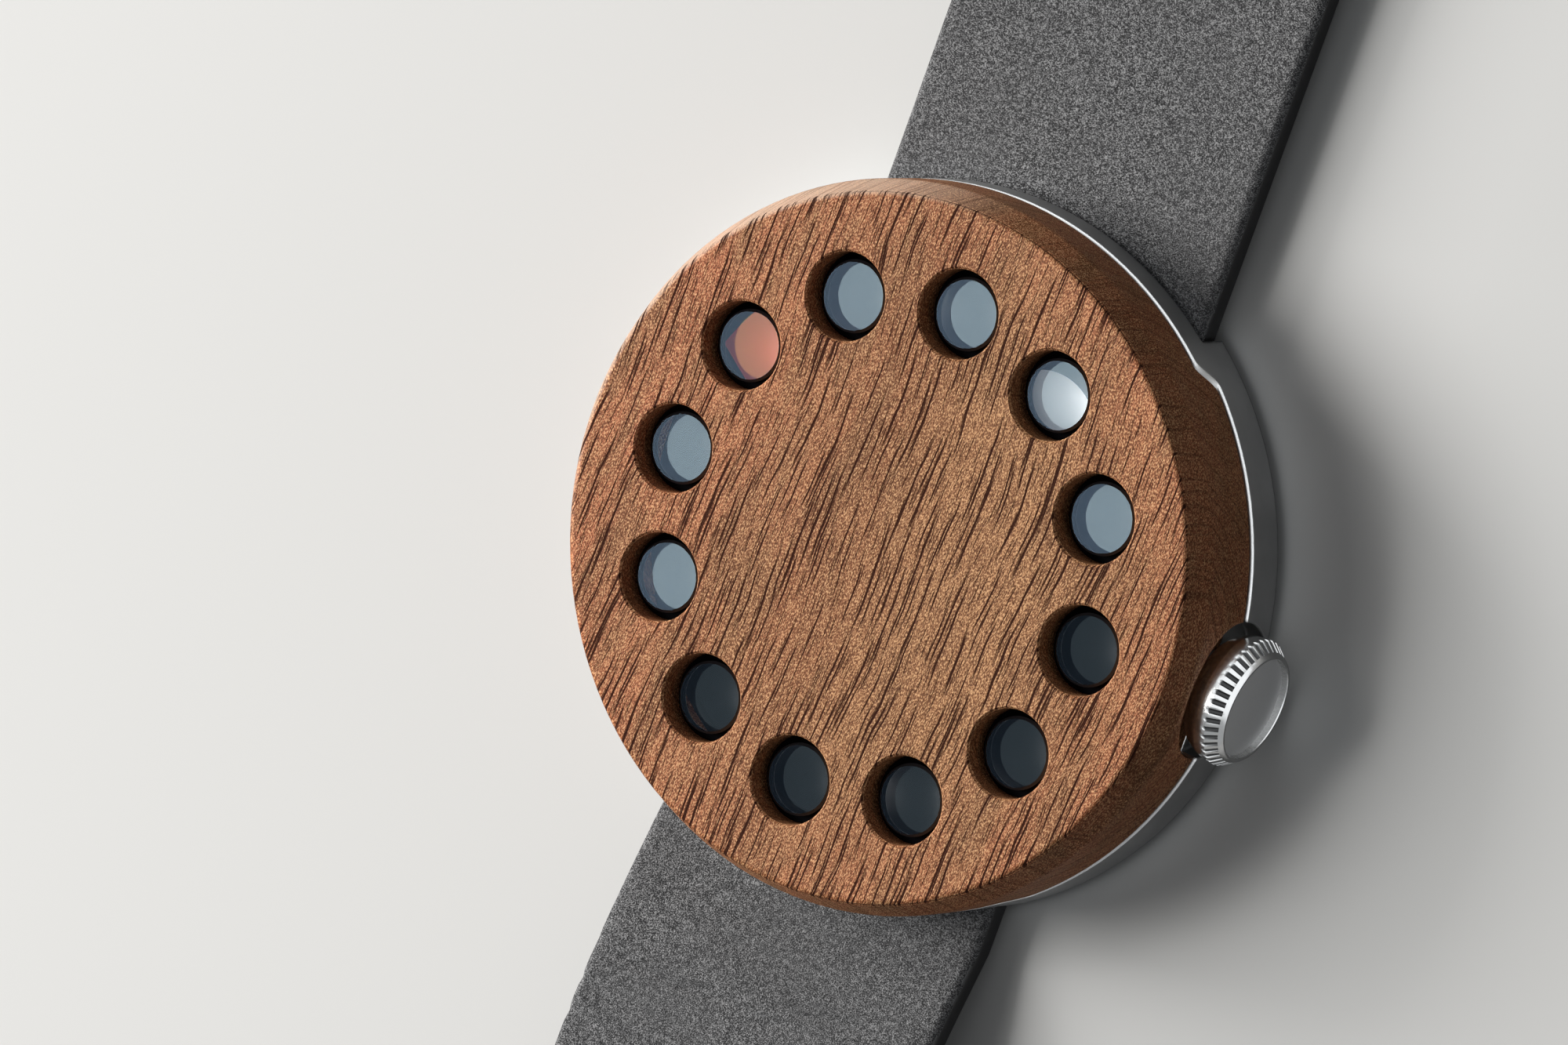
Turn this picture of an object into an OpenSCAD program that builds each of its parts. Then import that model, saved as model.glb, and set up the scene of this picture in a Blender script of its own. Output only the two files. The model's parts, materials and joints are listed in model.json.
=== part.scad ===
// Wooden-faced wristwatch laid open on its back. Millimetres.
// Origin at the centre of the case back's outer face, +X to 3 o'clock,
// +Y to 12 o'clock, +Z out of the face.

/* [Case] */
// Outer radius of the case and of the wooden block
case_r = 20.4; // [19.6:0.1:22]
// How far the flat face's edge lies inside the case radius
face_inset = 0.7; // [0.3:0.1:1.2]
// Height of the bevelled edge around the face
edge_drop = 1.5; // [0.6:0.05:1.8]
// Size of the softened corner between the face and that bevel
edge_soft = 0.1; // [0.05:0.01:0.2]
// How far the case back stands out below the steel band
back_proud = 0.6; // [0.4:0.1:0.7]
// Height of the steel band beside the straps
band_h = 2.9; // [2.5:0.1:3.1]
// How far the band climbs over each strap
arch_lift = 1.5; // [1.2:0.05:1.7]
// Height of the band where it arches over a strap
arch_h = 2.1; // [1.6:0.05:2.2]
// Dark gap between wood and steel, seen from outside
shadow_gap = 0.45; // [0.2:0.05:0.6]
// Depth of that gap
shadow_depth = 1.0; // [0.5:0.1:1.5]

/* [Case back] */
// Thickness of the case back plate
back_t = 0.8; // [0.7:0.05:1]
// Radius of the case back plate
back_r = 11.9; // [11.8:0.05:12]
// Width of the case back's snap lip
lip_w = 0.6; // [0.4:0.1:0.8]
// Height of the snap lip above the plate
lip_h = 0.35; // [0.2:0.05:0.4]

/* [Hour holes] */
// Radius of the circle that the holes lie on
hole_circle_r = 14.0; // [13.5:0.1:14.2]
// Radius of each hole
hole_r = 2.5; // [2:0.1:2.6]
// Chamfer around each hole
rim_chamfer = 0.12; // [0.05:0.01:0.2]
// Depth from the face down to each lens
lens_recess = 0.92; // [0.6:0.02:2]
// Gap between a lens and the wall of its hole
lens_gap = 0.45; // [0.1:0.05:0.6]
// Full thickness of a lens
lens_t = 1.3; // [1:0.05:1.6]
// Thickness of the flange that holds a lens from below
flange_t = 0.5; // [0.3:0.05:0.7]
// Width of that flange
flange_w = 0.4; // [0.3:0.05:0.5]
// Chamfer around the top of a lens
lens_chamfer = 0.15; // [0.05:0.01:0.25]

/* [Dial and hands] */
// Thickness of the dial plate
dial_t = 0.3; // [0.2:0.05:0.5]
// Gap between the dial and the hour hand
hour_gap = 0.25; // [0.2:0.05:0.5]
// Thickness of a hand
hand_t = 0.15; // [0.1:0.01:0.2]
// Gap between the two hands
hand_gap = 0.25; // [0.2:0.05:0.5]
// Gap between the minute hand and the wood above it
ceiling_gap = 1.33; // [0.3:0.01:1.4]
// Gap between the ends of the hands and the wood around them
hand_end_gap = 0.8; // [0.4:0.1:2]
// Width of a hand's broad end
paddle_w = 6.4; // [5:0.1:7]
// Length of a hand's broad end
paddle_l = 6.0; // [4:0.1:7]
// Width of a hand's arm
arm_w = 1.6; // [1:0.1:2.5]
// Where the minute hand points, clockwise from 12 o'clock
minute_hand_at = 30; // [0:1:359]
// Where the hour hand points, clockwise from 12 o'clock
hour_hand_at = 302.5; // [0:0.5:359.5]

/* [Crown] */
// Radius of the crown where it is widest
crown_r = 3.75; // [3:0.05:3.75]
// How far the crown's rim stands out past the case
crown_out = 2.1; // [1.8:0.1:3]
// Length of the crown
crown_l = 2.9; // [2.5:0.1:3]
// Length of the crown's fluted cone
flute_l = 0.6; // [0.5:0.05:1]
// How much the crown's radius falls along that cone
flute_fall = 0.45; // [0.2:0.05:0.5]
// Length of the smooth lip in front of the flutes
lip_l = 0.25; // [0.15:0.05:0.4]
// Number of flutes
flutes = 42; // [36:1:60]
// Radius of a flute
flute_r = 0.15; // [0.08:0.01:0.16]
// Radius of the sunk disc in the crown's face
crown_disc_r = 2.95; // [2:0.05:3]
// Depth of that disc
crown_disc_drop = 0.4; // [0.1:0.05:0.5]
// Free space around the crown in its recess
recess_gap = 0.35; // [0.3:0.05:0.8]
// Distance that the crown pulls out
crown_pull = 1.2; // [0.9:0.1:1.2]
// Radius of the crown tube
tube_r = 1.0; // [0.8:0.05:1.1]

/* [Movement] */
// Radius of the opening in the case for the movement
bore_r = 10.9; // [10.8:0.05:11]
// Wall of the movement ring
ring_wall = 0.6; // [0.4:0.05:0.6]
// Thickness of the main plate
plate_t = 1.0; // [0.95:0.05:1.2]
// Height between the main plate and the dial
motion_h = 0.75; // [0.75:0.05:1]
// Radius of the battery
battery_r = 2.9; // [2.4:0.05:2.95]
// Thickness of the battery
battery_h = 2.1; // [2.1:0.05:2.3]
// Thickness of the spring that holds the battery
clamp_t = 0.15; // [0.1:0.01:0.2]
// Radius of the winding of the coil
coil_r = 0.7; // [0.5:0.05:0.8]
// Length of that winding
coil_l = 7.2; // [5:0.1:7.4]
// Radius of the stem
stem_r = 0.4; // [0.36:0.01:0.45]
// Tooth size of the wheels under the dial
motion_module = 0.125; // [0.115:0.001:0.126]
// Tooth size of the centre wheel
centre_module = 0.12; // [0.11:0.001:0.122]
// Tooth size of the rotor's pinion
rotor_module = 0.1; // [0.095:0.001:0.105]

/* [Strap] */
// Width of the strap
strap_w = 22; // [20:0.5:22.6]
// Thickness of the strap
strap_t = 2.0; // [1.6:0.1:2.1]
// Length of the buckle side, from spring bar to buckle bar
short_l = 75; // [70:1:90]
// Length of the tail side, from spring bar to tip
long_l = 115; // [105:1:130]
// Distance of each spring bar from the watch's middle
bar_y = 14.6; // [14.5:0.05:14.7]
// Height of each spring bar's axis
bar_z = 1.5; // [1.4:0.05:1.5]
// Radius of a spring bar
bar_r = 0.65; // [0.5:0.05:0.65]
// Leather around a spring bar
loop_wall = 0.5; // [0.4:0.05:0.5]
// Height that the tail side bows up by, beside the case
bow_h = 2.5; // [0:0.1:3]
// Number of holes in the tail side
strap_holes = 7; // [4:1:8]
// Distance between those holes
hole_pitch = 6.5; // [5:0.5:7]
// Radius of those holes
strap_hole_r = 1.0; // [0.8:0.1:1.2]

/* [Buckle and keepers] */
// Width of each keeper along the strap
keeper_w = 6; // [4:0.5:7]
// Thickness of a keeper's leather
keeper_t = 0.85; // [0.6:0.05:0.85]
// Room that a keeper leaves for the tail
keeper_room = 2.3; // [2.2:0.1:3]
// Length of the buckle from its bar to its front
buckle_l = 10.5; // [9.5:0.5:12]
// Width of a side of the buckle's frame
buckle_arm = 1.8; // [1.4:0.1:2.5]
// Thickness of the buckle's frame
buckle_t = 2.0; // [1.8:0.1:2.4]
// Radius of the buckle's bar
buckle_bar_r = 0.75; // [0.6:0.05:0.8]
// Width of the buckle's tongue
tongue_w = 2.2; // [1.8:0.1:2.6]
// Thickness of the tongue
tongue_t = 1.0; // [0.7:0.1:1.2]

/* [Hidden] */

fine = 96;
small = 48;
eps = 0.01;
far = 40;

// Clearances
run_gap = 0.05;
slip_gap = 0.1;
strap_gap = 0.2;
move_gap = 0.3;
keeper_slip = 0.15;
tooth_slack = 0.16;
press_angle = 25;

// Heights, from the case back up
band_bottom = back_proud;
band_top = band_bottom + band_h;
arch_top = band_top + arch_lift;
arch_bottom = arch_top - arch_h;
clamp_z = back_t + strap_gap;
battery_z = clamp_z + clamp_t;
plate_z = battery_z + battery_h + run_gap;
plate_top = plate_z + plate_t;
stem_drop = 0.5;
crown_z = plate_top - stem_drop;
dial_z = plate_top + motion_h;
dial_top = dial_z + dial_t;
hour_hand_z = dial_top + hour_gap;
minute_hand_z = hour_hand_z + hand_t + hand_gap;
hands_top = minute_hand_z + hand_t;
ceiling_z = hands_top + ceiling_gap;
lens_top = ceiling_z + lens_t;
face_z = lens_top + lens_recess;
lens_r = hole_r - lens_gap;

// Radii around the watch's axis
face_r = case_r - face_inset;
cavity_r = hole_circle_r + hole_r + flange_w + slip_gap;
hand_reach = cavity_r - hand_end_gap;
upstand_r = cavity_r - slip_gap;
seal_w = 0.7;
seal_h = 0.45;
dial_r = cavity_r - seal_w - slip_gap;
spigot_r = case_r - shadow_depth;
back_chamfer = 0.3;
back_seal_r = back_r - 0.25;
back_seal_h = 0.3;
ring_r = bore_r - run_gap;
plate_r = ring_r - ring_wall - run_gap;

// Arch over each strap
notch_x = strap_w / 2 + strap_gap;
arch_x = notch_x + 1.0;
ramp_w = 1.3;
loop_r = bar_r + run_gap + loop_wall;
notch_y = bar_y - loop_r - 0.9;
bar_tip_r = 0.4;
bar_tip_l = 1.0;

// Crown and stem, along the X axis
crown_tip = case_r + crown_out;
crown_back = crown_tip - crown_l;
recess_r = crown_r + recess_gap;
recess_x = crown_back - 0.7;
boss_r = tube_r + 0.9;
tube_x = cavity_r;
crown_hollow_r = tube_r + 0.5;
crown_hollow_end = crown_tip - 0.9;
tube_end = crown_hollow_end - 0.4;
stem_end = crown_hollow_end + 0.35;
stem_hole_r = stem_r + 0.2;

// Wheels under the dial: teeth, and the places of their axes
cannon_teeth = 12;
minute_teeth = 36;
minute_pinion_teeth = 10;
hour_teeth = 40;
setting_teeth = 16;
minute_d = motion_module * (cannon_teeth + minute_teeth) / 2;
hour_module = 2 * minute_d / (minute_pinion_teeth + hour_teeth);
minute_at = 60;
minute_x = minute_d * cos(minute_at);
minute_y = minute_d * sin(minute_at);
setting_d = motion_module * (minute_teeth + setting_teeth) / 2;
setting_x = minute_x + sqrt(setting_d * setting_d - minute_y * minute_y);
setting_at = atan2(-minute_y, setting_x - minute_x);
setting_tip = setting_x + motion_module * (setting_teeth / 2 + 0.8);
motion_z = plate_top + 0.08;
motion_t = 0.2;
hour_wheel_z = motion_z + motion_t + 0.1;
hour_wheel_t = 0.25;
washer_t = 0.1;
arbor_r = 0.25;
cannon_r = arbor_r + 0.25;
pipe_bore_r = cannon_r + run_gap;
pipe_r = pipe_bore_r + 0.25;
pipe_top = hour_hand_z + hand_t + run_gap;
cannon_top = hands_top + run_gap;

// Going train below the main plate
centre_teeth = 60;
third_pinion_teeth = 10;
third_teeth = 40;
rotor_teeth = 8;
third_at = 135;
third_d = centre_module * (centre_teeth + third_pinion_teeth) / 2;
third_x = third_d * cos(third_at);
third_y = third_d * sin(third_at);
rotor_at = 190;
rotor_d = rotor_module * (third_teeth + rotor_teeth) / 2;
rotor_x = third_x + rotor_d * cos(rotor_at);
rotor_y = third_y + rotor_d * sin(rotor_at);
wheel_t = 0.2;
centre_wheel_z = plate_z - 0.55;
third_wheel_z = centre_wheel_z - 0.45;
rotor_pinion_z = third_wheel_z - 0.1;
bridge_t = 0.4;
bridge_top = third_wheel_z - 0.3;
bridge_z = bridge_top - bridge_t;
pivot_r = 0.12;
magnet_r = 0.55;
magnet_gap = 0.2;
stator_z = centre_wheel_z;
stator_t = 0.2;
coil_x = -7.9;
coil_z = stator_z - run_gap - coil_r;
core_x = 0.6;
coil_end = coil_l / 2 + 0.9;
board_t = 0.3;
board_in = 5.6;
crystal_r = 0.6;
crystal_l = 4.4;
crystal_x = -5.1;
crystal_y = -6.9;
battery_at = -60;
battery_d = plate_r - battery_r - 0.4;
battery_x = battery_d * cos(battery_at);
battery_y = battery_d * sin(battery_at);
post_r = 0.3;
screw_r = 0.3;
screw_head_r = 0.55;
screw_head_t = 0.2;
pillar_r = 0.7;
pillars = [[-1.2, 6.6], [-4.2, -4.4], [4.6, 3.9]];

// Keyless works along the stem
pinion_x = setting_tip + 0.35;
pinion_l = 1.6;
pinion_r = 0.75;
pinion_teeth_l = 0.4;
pocket_x = pinion_x - move_gap;
pocket_end = pinion_x + pinion_l + 0.15;
square_w = 0.5;
stem_pivot_r = 0.25;
square_end = pocket_end + 0.05;
groove_x = square_end + 0.3;
groove_w = 0.7;
groove_r = 0.2;
finger_r = 0.15;
finger_y = 0.42;
lever_y = 3.6;
lever_x = groove_x + groove_w / 2 + crown_pull / 2;
lever_arm = lever_y - finger_y;
lever_swing = asin(crown_pull / 2 / lever_arm);
lever_t = 0.2;

// Strap
strap_mid = strap_t / 2;
exit_z = bar_z + 0.15;
buckle_z = keeper_t + keeper_slip + strap_mid;
buckle_y = bar_y + short_l;
rise_start = 38;
rise_end = 50;
bow_start = 20.2;
bow_top = 36;
bow_level = 40;
bow_end = 74;
crest_z = exit_z + bow_h;
step = 1.5;
tip_y = bar_y + long_l;
tip_l = 12;
last_hole_in = 22;
first_hole = tip_y - last_hole_in - (strap_holes - 1) * hole_pitch;

// Buckle and keepers
buckle_loop_wall = 1.1;
frame_in = strap_w / 2 + strap_gap;
frame_front = buckle_y + buckle_l;
front_w = 2.0;
frame_drop = 0.3;
buckle_tilt = asin((buckle_z - buckle_t / 2) / buckle_l);
tongue_over = 0.3;
slot_w = tongue_w + 0.8;
slot_l = 5;
slot_y = buckle_y - slot_l;
tongue_r = buckle_bar_r + run_gap + 0.7;
keeper_back = 12;
keeper_space = 4;
fixed_keeper_y = buckle_y - keeper_back;
free_keeper_y = fixed_keeper_y - keeper_w - keeper_space;

// Colours
wood_c = "saddlebrown";
steel_c = "silver";
leather_c = "dimgray";
brass_c = "goldenrod";
glass_c = "lightsteelblue";
rubber_c = "black";
dark_c = "darkslategray";

function smooth(t) = let (c = max(0, min(1, t))) c * c * (3 - 2 * c);
function clamp01(t) = max(0, min(1, t));
function involute(a) = tan(a) * 180 / PI - a;
function polar(r, a) = [r * cos(a), r * sin(a)];
function mesh_phase(at, phase, n1, n2) = at + 180 + (at - phase) * n1 / n2 + 180 / n2;

// Phases that put every pair of wheels in mesh at rest
cannon_phase = 0;
minute_phase = mesh_phase(minute_at, cannon_phase, cannon_teeth, minute_teeth);
setting_phase = mesh_phase(setting_at, minute_phase, minute_teeth, setting_teeth);
minute_pinion_phase = 0;
hour_phase = mesh_phase(minute_at + 180, minute_pinion_phase, minute_pinion_teeth, hour_teeth);
centre_phase = 0;
third_pinion_phase = mesh_phase(third_at, centre_phase, centre_teeth, third_pinion_teeth);
third_phase = 0;
rotor_phase = mesh_phase(rotor_at, third_phase, third_teeth, rotor_teeth);

// Height of the strap's middle at a distance from the watch's middle
function short_mid(y) = exit_z + (buckle_z - exit_z) * smooth((y - rise_start) / (rise_end - rise_start));
function long_mid(y) =
    y < bow_level
    ? exit_z + bow_h * sin(90 * clamp01((y - bow_start) / (bow_top - bow_start)))
    : crest_z + (strap_mid - crest_z) * smooth((y - bow_level) / (bow_end - bow_level));

// Half of the angle that a tooth fills at radius r
function flank(n, m, r) =
    let (base = n * m / 2 * cos(press_angle))
    90 / n * (1 - tooth_slack) + involute(press_angle) - (r > base ? involute(acos(base / r)) : 0);

function tooth_radii(n, m) =
    let (pitch = n * m / 2, base = pitch * cos(press_angle), root = pitch - 1.1 * m)
    base > root ? [root, base, pitch, pitch + 0.8 * m] : [root, pitch, pitch + 0.8 * m];

function tooth(n, m, c) =
    let (rs = tooth_radii(n, m))
    concat(
        [for (r = rs) polar(r, c - flank(n, m, r))],
        [for (i = [len(rs) - 1:-1:0]) polar(rs[i], c + flank(n, m, rs[i]))]
    );

// Toothed wheel lying flat, with a tooth at the phase angle
module gear(n, m, phase, t) {
    linear_extrude(t)
        polygon([for (k = [0:n - 1]) each tooth(n, m, phase + k * 360 / n)]);
}

module disc(r, z0, z1, facets = small) {
    translate([0, 0, z0])
        cylinder(r = r, h = z1 - z0, $fn = facets);
}

module ring(r1, r0, z0, z1, facets = small) {
    difference() {
        disc(r1, z0, z1, facets);
        disc(r0, z0 - 1, z1 + 1, facets);
    }
}

// Round bar along X at the crown's height
module x_bar(r, x0, x1, facets = small) {
    translate([x0, 0, crown_z])
        rotate([0, 90, 0])
            cylinder(r = r, h = x1 - x0, $fn = facets);
}

// Round bar along X, centred on x = 0
module cross_bar(r, half, y, z, facets = small) {
    translate([-half, y, z])
        rotate([0, 90, 0])
            cylinder(r = r, h = 2 * half, $fn = facets);
}

// Outline in Y and Z, extruded along X about x = 0
module side_profile(half) {
    translate([-half, 0, 0])
        rotate([90, 0, 90])
            linear_extrude(2 * half)
                children();
}

// The band's climb over a strap, as a bar along Y. grow moves its top and sides out.
module arch_bar(z0, grow) {
    half = arch_x + grow / 2;
    translate([0, far, 0])
        rotate([90, 0, 0])
            linear_extrude(2 * far)
                polygon(concat(
                    [for (k = [0:8]) [half + ramp_w * (1 - k / 8), z0 + (arch_top + grow - z0) * smooth(k / 8)]],
                    [for (k = [8:-1:0]) [-half - ramp_w * (1 - k / 8), z0 + (arch_top + grow - z0) * smooth(k / 8)]]
                ));
}

module at_hour(k) {
    rotate(-30 * k)
        translate([0, hole_circle_r, 0])
            children();
}

module crown_recess() {
    x_bar(recess_r, recess_x, far, fine);
}

module wooden_face() {
    soft_share = edge_soft / edge_drop;
    color(wood_c)
    difference() {
        rotate_extrude($fn = fine)
            polygon(concat(
                [[0, band_top], [spigot_r, band_top], [spigot_r, band_top + shadow_gap],
                 [case_r, band_top + shadow_gap]],
                [[case_r, face_z - edge_drop - edge_soft],
                 [case_r - face_inset * soft_share, face_z - edge_drop + edge_soft],
                 [face_r + face_inset * soft_share, face_z - edge_soft],
                 [face_r - edge_soft / 2, face_z], [0, face_z]]
            ));
        disc(cavity_r, -1, ceiling_z, fine);
        arch_bar(band_top - eps, 0);
        difference() {
            arch_bar(band_top + shadow_gap, shadow_gap);
            disc(spigot_r, 0, face_z, fine);
        }
        for (k = [1:12])
            at_hour(k) {
                disc(hole_r, ceiling_z - 1, face_z + 1);
                disc(hole_r + flange_w, ceiling_z - 1, ceiling_z + flange_t);
                translate([0, 0, face_z - rim_chamfer])
                    cylinder(r1 = hole_r, r2 = hole_r + 2 * rim_chamfer, h = 2 * rim_chamfer, $fn = small);
            }
        crown_recess();
        x_bar(boss_r + slip_gap, cavity_r - 2, recess_x + eps);
    }
}

module lens(k) {
    color(glass_c)
    at_hour(k) {
        disc(hole_r + flange_w, ceiling_z, ceiling_z + flange_t);
        disc(lens_r, ceiling_z, lens_top - lens_chamfer);
        translate([0, 0, lens_top - lens_chamfer])
            cylinder(r1 = lens_r, r2 = lens_r - lens_chamfer, h = lens_chamfer, $fn = small);
    }
}

module steel_case() {
    color(steel_c)
    difference() {
        union() {
            disc(case_r, band_bottom, band_top, fine);
            intersection() {
                disc(case_r, band_top - eps, arch_top + 1, fine);
                arch_bar(band_top - eps, 0);
            }
            disc(upstand_r, band_bottom, dial_z - seal_h - run_gap, fine);
            disc(cavity_r - seal_w, band_bottom, dial_z, fine);
            intersection() {
                x_bar(boss_r, bore_r + 2, recess_x);
                disc(far, 0, dial_z);
            }
        }
        ring(cavity_r, cavity_r - seal_w, dial_z - seal_h - run_gap, far, fine);
        disc(bore_r, -1, far, fine);
        disc(back_r + run_gap, -1, back_t, fine);
        for (s = [0, 1])
            mirror([0, s, 0]) {
                translate([-notch_x, notch_y, -1])
                    cube([2 * notch_x, far, arch_bottom + 1]);
                cross_bar(bar_tip_r + run_gap, notch_x + bar_tip_l + slip_gap, bar_y, bar_z);
            }
        crown_recess();
        x_bar(stem_hole_r, bore_r - 1, far);
        x_bar(tube_r, tube_x, far);
    }
}

module case_gasket() {
    color(rubber_c)
        ring(cavity_r, cavity_r - seal_w, dial_z - seal_h - run_gap, min(dial_z, arch_top));
}

module case_back() {
    color(steel_c)
    difference() {
        union() {
            cylinder(r1 = back_r - back_chamfer, r2 = back_r, h = back_chamfer, $fn = fine);
            disc(back_r, back_chamfer, back_t, fine);
            ring(bore_r - run_gap, bore_r - run_gap - lip_w, back_t - eps, back_t + lip_h, fine);
        }
        ring(back_seal_r, back_seal_r - 0.5, back_t - back_seal_h, back_t + 1, fine);
    }
}

module case_back_gasket() {
    color(rubber_c)
        ring(back_seal_r, back_seal_r - 0.5, back_t - back_seal_h, back_t, fine);
}

module crown_tube() {
    color(steel_c)
    difference() {
        x_bar(tube_r, tube_x, tube_end);
        x_bar(stem_hole_r, tube_x - 1, tube_end + 1);
    }
}

module dial_plate() {
    color(dark_c)
        ring(dial_r, pipe_r + 0.15, dial_z, dial_top, fine);
}

module dial_washer() {
    color(brass_c)
        ring(1.7, pipe_r + run_gap, dial_z - washer_t, dial_z);
}

module movement_ring() {
    color(rubber_c)
    difference() {
        ring(ring_r, ring_r - ring_wall, back_t + lip_h + slip_gap, dial_z, fine);
        x_bar(stem_hole_r, 5, far);
    }
}

module main_plate() {
    color(brass_c)
    difference() {
        union() {
            disc(plate_r, plate_z, plate_top, fine);
            translate([minute_x, minute_y, 0])
                disc(post_r, plate_top - eps, hour_wheel_z + hour_wheel_t + run_gap);
            translate([setting_x, 0, 0])
                disc(post_r, plate_top - eps, motion_z + motion_t + run_gap);
            translate([lever_x, lever_y, 0])
                disc(post_r, plate_top - eps, motion_z + lever_t + run_gap);
            for (p = pillars)
                translate([p[0], p[1], 0])
                    disc(pillar_r, bridge_top, plate_z + eps);
        }
        disc(arbor_r + run_gap, 0, far);
        for (p = [[third_x, third_y], [rotor_x, rotor_y]])
            translate([p[0], p[1], 0])
                disc(pivot_r + run_gap, plate_z - 1, plate_z + 0.4);
        for (p = pillars)
            translate([p[0], p[1], 0])
                disc(screw_r, 0, plate_z);
        translate([pocket_x, -pinion_r - 0.2, plate_z - 1])
            cube([pocket_end - pocket_x, 2 * pinion_r + 0.4, plate_t + 2]);
        translate([pocket_end - eps, -stem_r - 0.3, plate_z - 1])
            cube([far, 2 * stem_r + 0.6, plate_t + 2]);
        x_bar(stem_pivot_r + run_gap, pocket_x - 2, pocket_x + eps);
    }
}

module train_bridge() {
    color(steel_c)
    difference() {
        translate([0, 0, bridge_z])
            linear_extrude(bridge_t)
                union() {
                    bridge_arm([0, 0], pillars[0]);
                    bridge_arm([0, 0], pillars[1]);
                    bridge_arm([0, 0], pillars[2]);
                    bridge_arm([0, 0], [third_x, third_y]);
                    bridge_arm([third_x, third_y], [rotor_x, rotor_y]);
                }
        disc(pivot_r + run_gap, 0, far);
        for (p = [[third_x, third_y], [rotor_x, rotor_y]])
            translate([p[0], p[1], 0])
                disc(pivot_r + run_gap, 0, far);
        for (p = pillars)
            translate([p[0], p[1], 0])
                disc(screw_r, 0, far);
    }
}

// Flat bar with round ends between two points
module bridge_arm(a, b) {
    d = b - a;
    translate(a)
        rotate(atan2(d[1], d[0])) {
            translate([0, -pillar_r])
                square([norm(d), 2 * pillar_r]);
            circle(r = pillar_r, $fn = small);
            translate([norm(d), 0])
                circle(r = pillar_r, $fn = small);
        }
}

module bridge_screws() {
    color("steelblue")
    for (p = pillars)
        translate([p[0], p[1], 0]) {
            difference() {
                disc(screw_head_r, bridge_z - screw_head_t, bridge_z);
                translate([-1, -0.06, bridge_z - screw_head_t - 1])
                    cube([2, 0.12, 1.1]);
            }
            disc(screw_r, bridge_z - eps, plate_z - 0.2);
        }
}

module stator() {
    color("gray")
    difference() {
        translate([0, 0, stator_z])
            linear_extrude(stator_t)
                union() {
                    translate([rotor_x, rotor_y])
                        circle(r = 1.1, $fn = small);
                    stator_arm([rotor_x, rotor_y], [coil_x, coil_end]);
                    stator_arm([rotor_x, rotor_y], [coil_x + 2, -coil_end / 2]);
                    stator_arm([coil_x + 2, -coil_end / 2], [coil_x, -coil_end]);
                }
        translate([rotor_x, rotor_y, 0])
            disc(magnet_r + magnet_gap, 0, far);
    }
}

module stator_arm(a, b) {
    d = b - a;
    translate(a)
        rotate(atan2(d[1], d[0])) {
            translate([0, -core_x])
                square([norm(d), 2 * core_x]);
            translate([norm(d), 0])
                circle(r = core_x, $fn = small);
            circle(r = core_x, $fn = small);
        }
}

module coil() {
    color("chocolate")
    union() {
        translate([coil_x, coil_l / 2, coil_z])
            rotate([90, 0, 0])
                cylinder(r = coil_r, h = coil_l, $fn = small);
        translate([coil_x - core_x, -coil_end - 0.4, stator_z - 0.25])
            cube([2 * core_x, 2 * coil_end + 0.8, 0.25]);
    }
}

module circuit_board() {
    color("darkgreen")
    translate([0, 0, plate_z - board_t])
        linear_extrude(board_t)
            intersection() {
                circle(r = plate_r - 0.3, $fn = fine);
                translate([-board_in, -far])
                    square([board_in, far - board_in]);
            }
}

module quartz_crystal() {
    color(steel_c)
    translate([crystal_x, crystal_y, plate_z - board_t - crystal_r])
        rotate([0, 90, 0])
            cylinder(r = crystal_r, h = crystal_l, $fn = small);
}

module battery() {
    color(steel_c)
    translate([battery_x, battery_y, 0]) {
        disc(battery_r, battery_z, battery_z + battery_h - 0.3);
        disc(battery_r - 0.5, battery_z, battery_z + battery_h);
    }
}

module battery_clamp() {
    color(brass_c)
    translate([battery_x, battery_y, clamp_z])
        linear_extrude(clamp_t)
            rotate(battery_at)
                difference() {
                    translate([-battery_r - 0.4, -0.9])
                        square([2 * battery_r + 0.6, 1.8]);
                    circle(r = 0.5, $fn = small);
                }
}

module centre_wheel() {
    color(brass_c)
    union() {
        disc(arbor_r, centre_wheel_z - 0.1, cannon_top);
        disc(pivot_r, bridge_z, centre_wheel_z);
        translate([0, 0, centre_wheel_z])
            gear(centre_teeth, centre_module, centre_phase, wheel_t);
    }
}

module cannon_pinion() {
    color(steel_c)
    difference() {
        union() {
            disc(cannon_r, plate_top + run_gap, cannon_top);
            translate([0, 0, motion_z])
                gear(cannon_teeth, motion_module, cannon_phase, motion_t);
        }
        disc(arbor_r, 0, far);
    }
}

// Hand with a broad end, pointing along +Y
module hand(reach, hub_r, bore, z) {
    translate([0, 0, z])
        linear_extrude(hand_t)
            difference() {
                union() {
                    circle(r = hub_r, $fn = small);
                    translate([-arm_w / 2, 0])
                        square([arm_w, reach - paddle_l + 1]);
                    intersection() {
                        circle(r = reach, $fn = fine);
                        translate([-paddle_w / 2, reach - paddle_l])
                            square([paddle_w, paddle_l + 1]);
                    }
                }
                circle(r = bore, $fn = small);
            }
}

module minute_hand() {
    color("white")
        rotate(-minute_hand_at)
            hand(hand_reach, cannon_r + 0.7, cannon_r, minute_hand_z);
}

module hour_hand() {
    color("tomato")
        rotate(-hour_hand_at)
            hand(hand_reach, pipe_r + 0.6, pipe_r, hour_hand_z);
}

module hour_wheel() {
    color(brass_c)
    difference() {
        union() {
            disc(pipe_r, hour_wheel_z, pipe_top);
            translate([0, 0, hour_wheel_z])
                gear(hour_teeth, hour_module, hour_phase, hour_wheel_t);
        }
        disc(pipe_bore_r, 0, far);
    }
}

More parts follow.
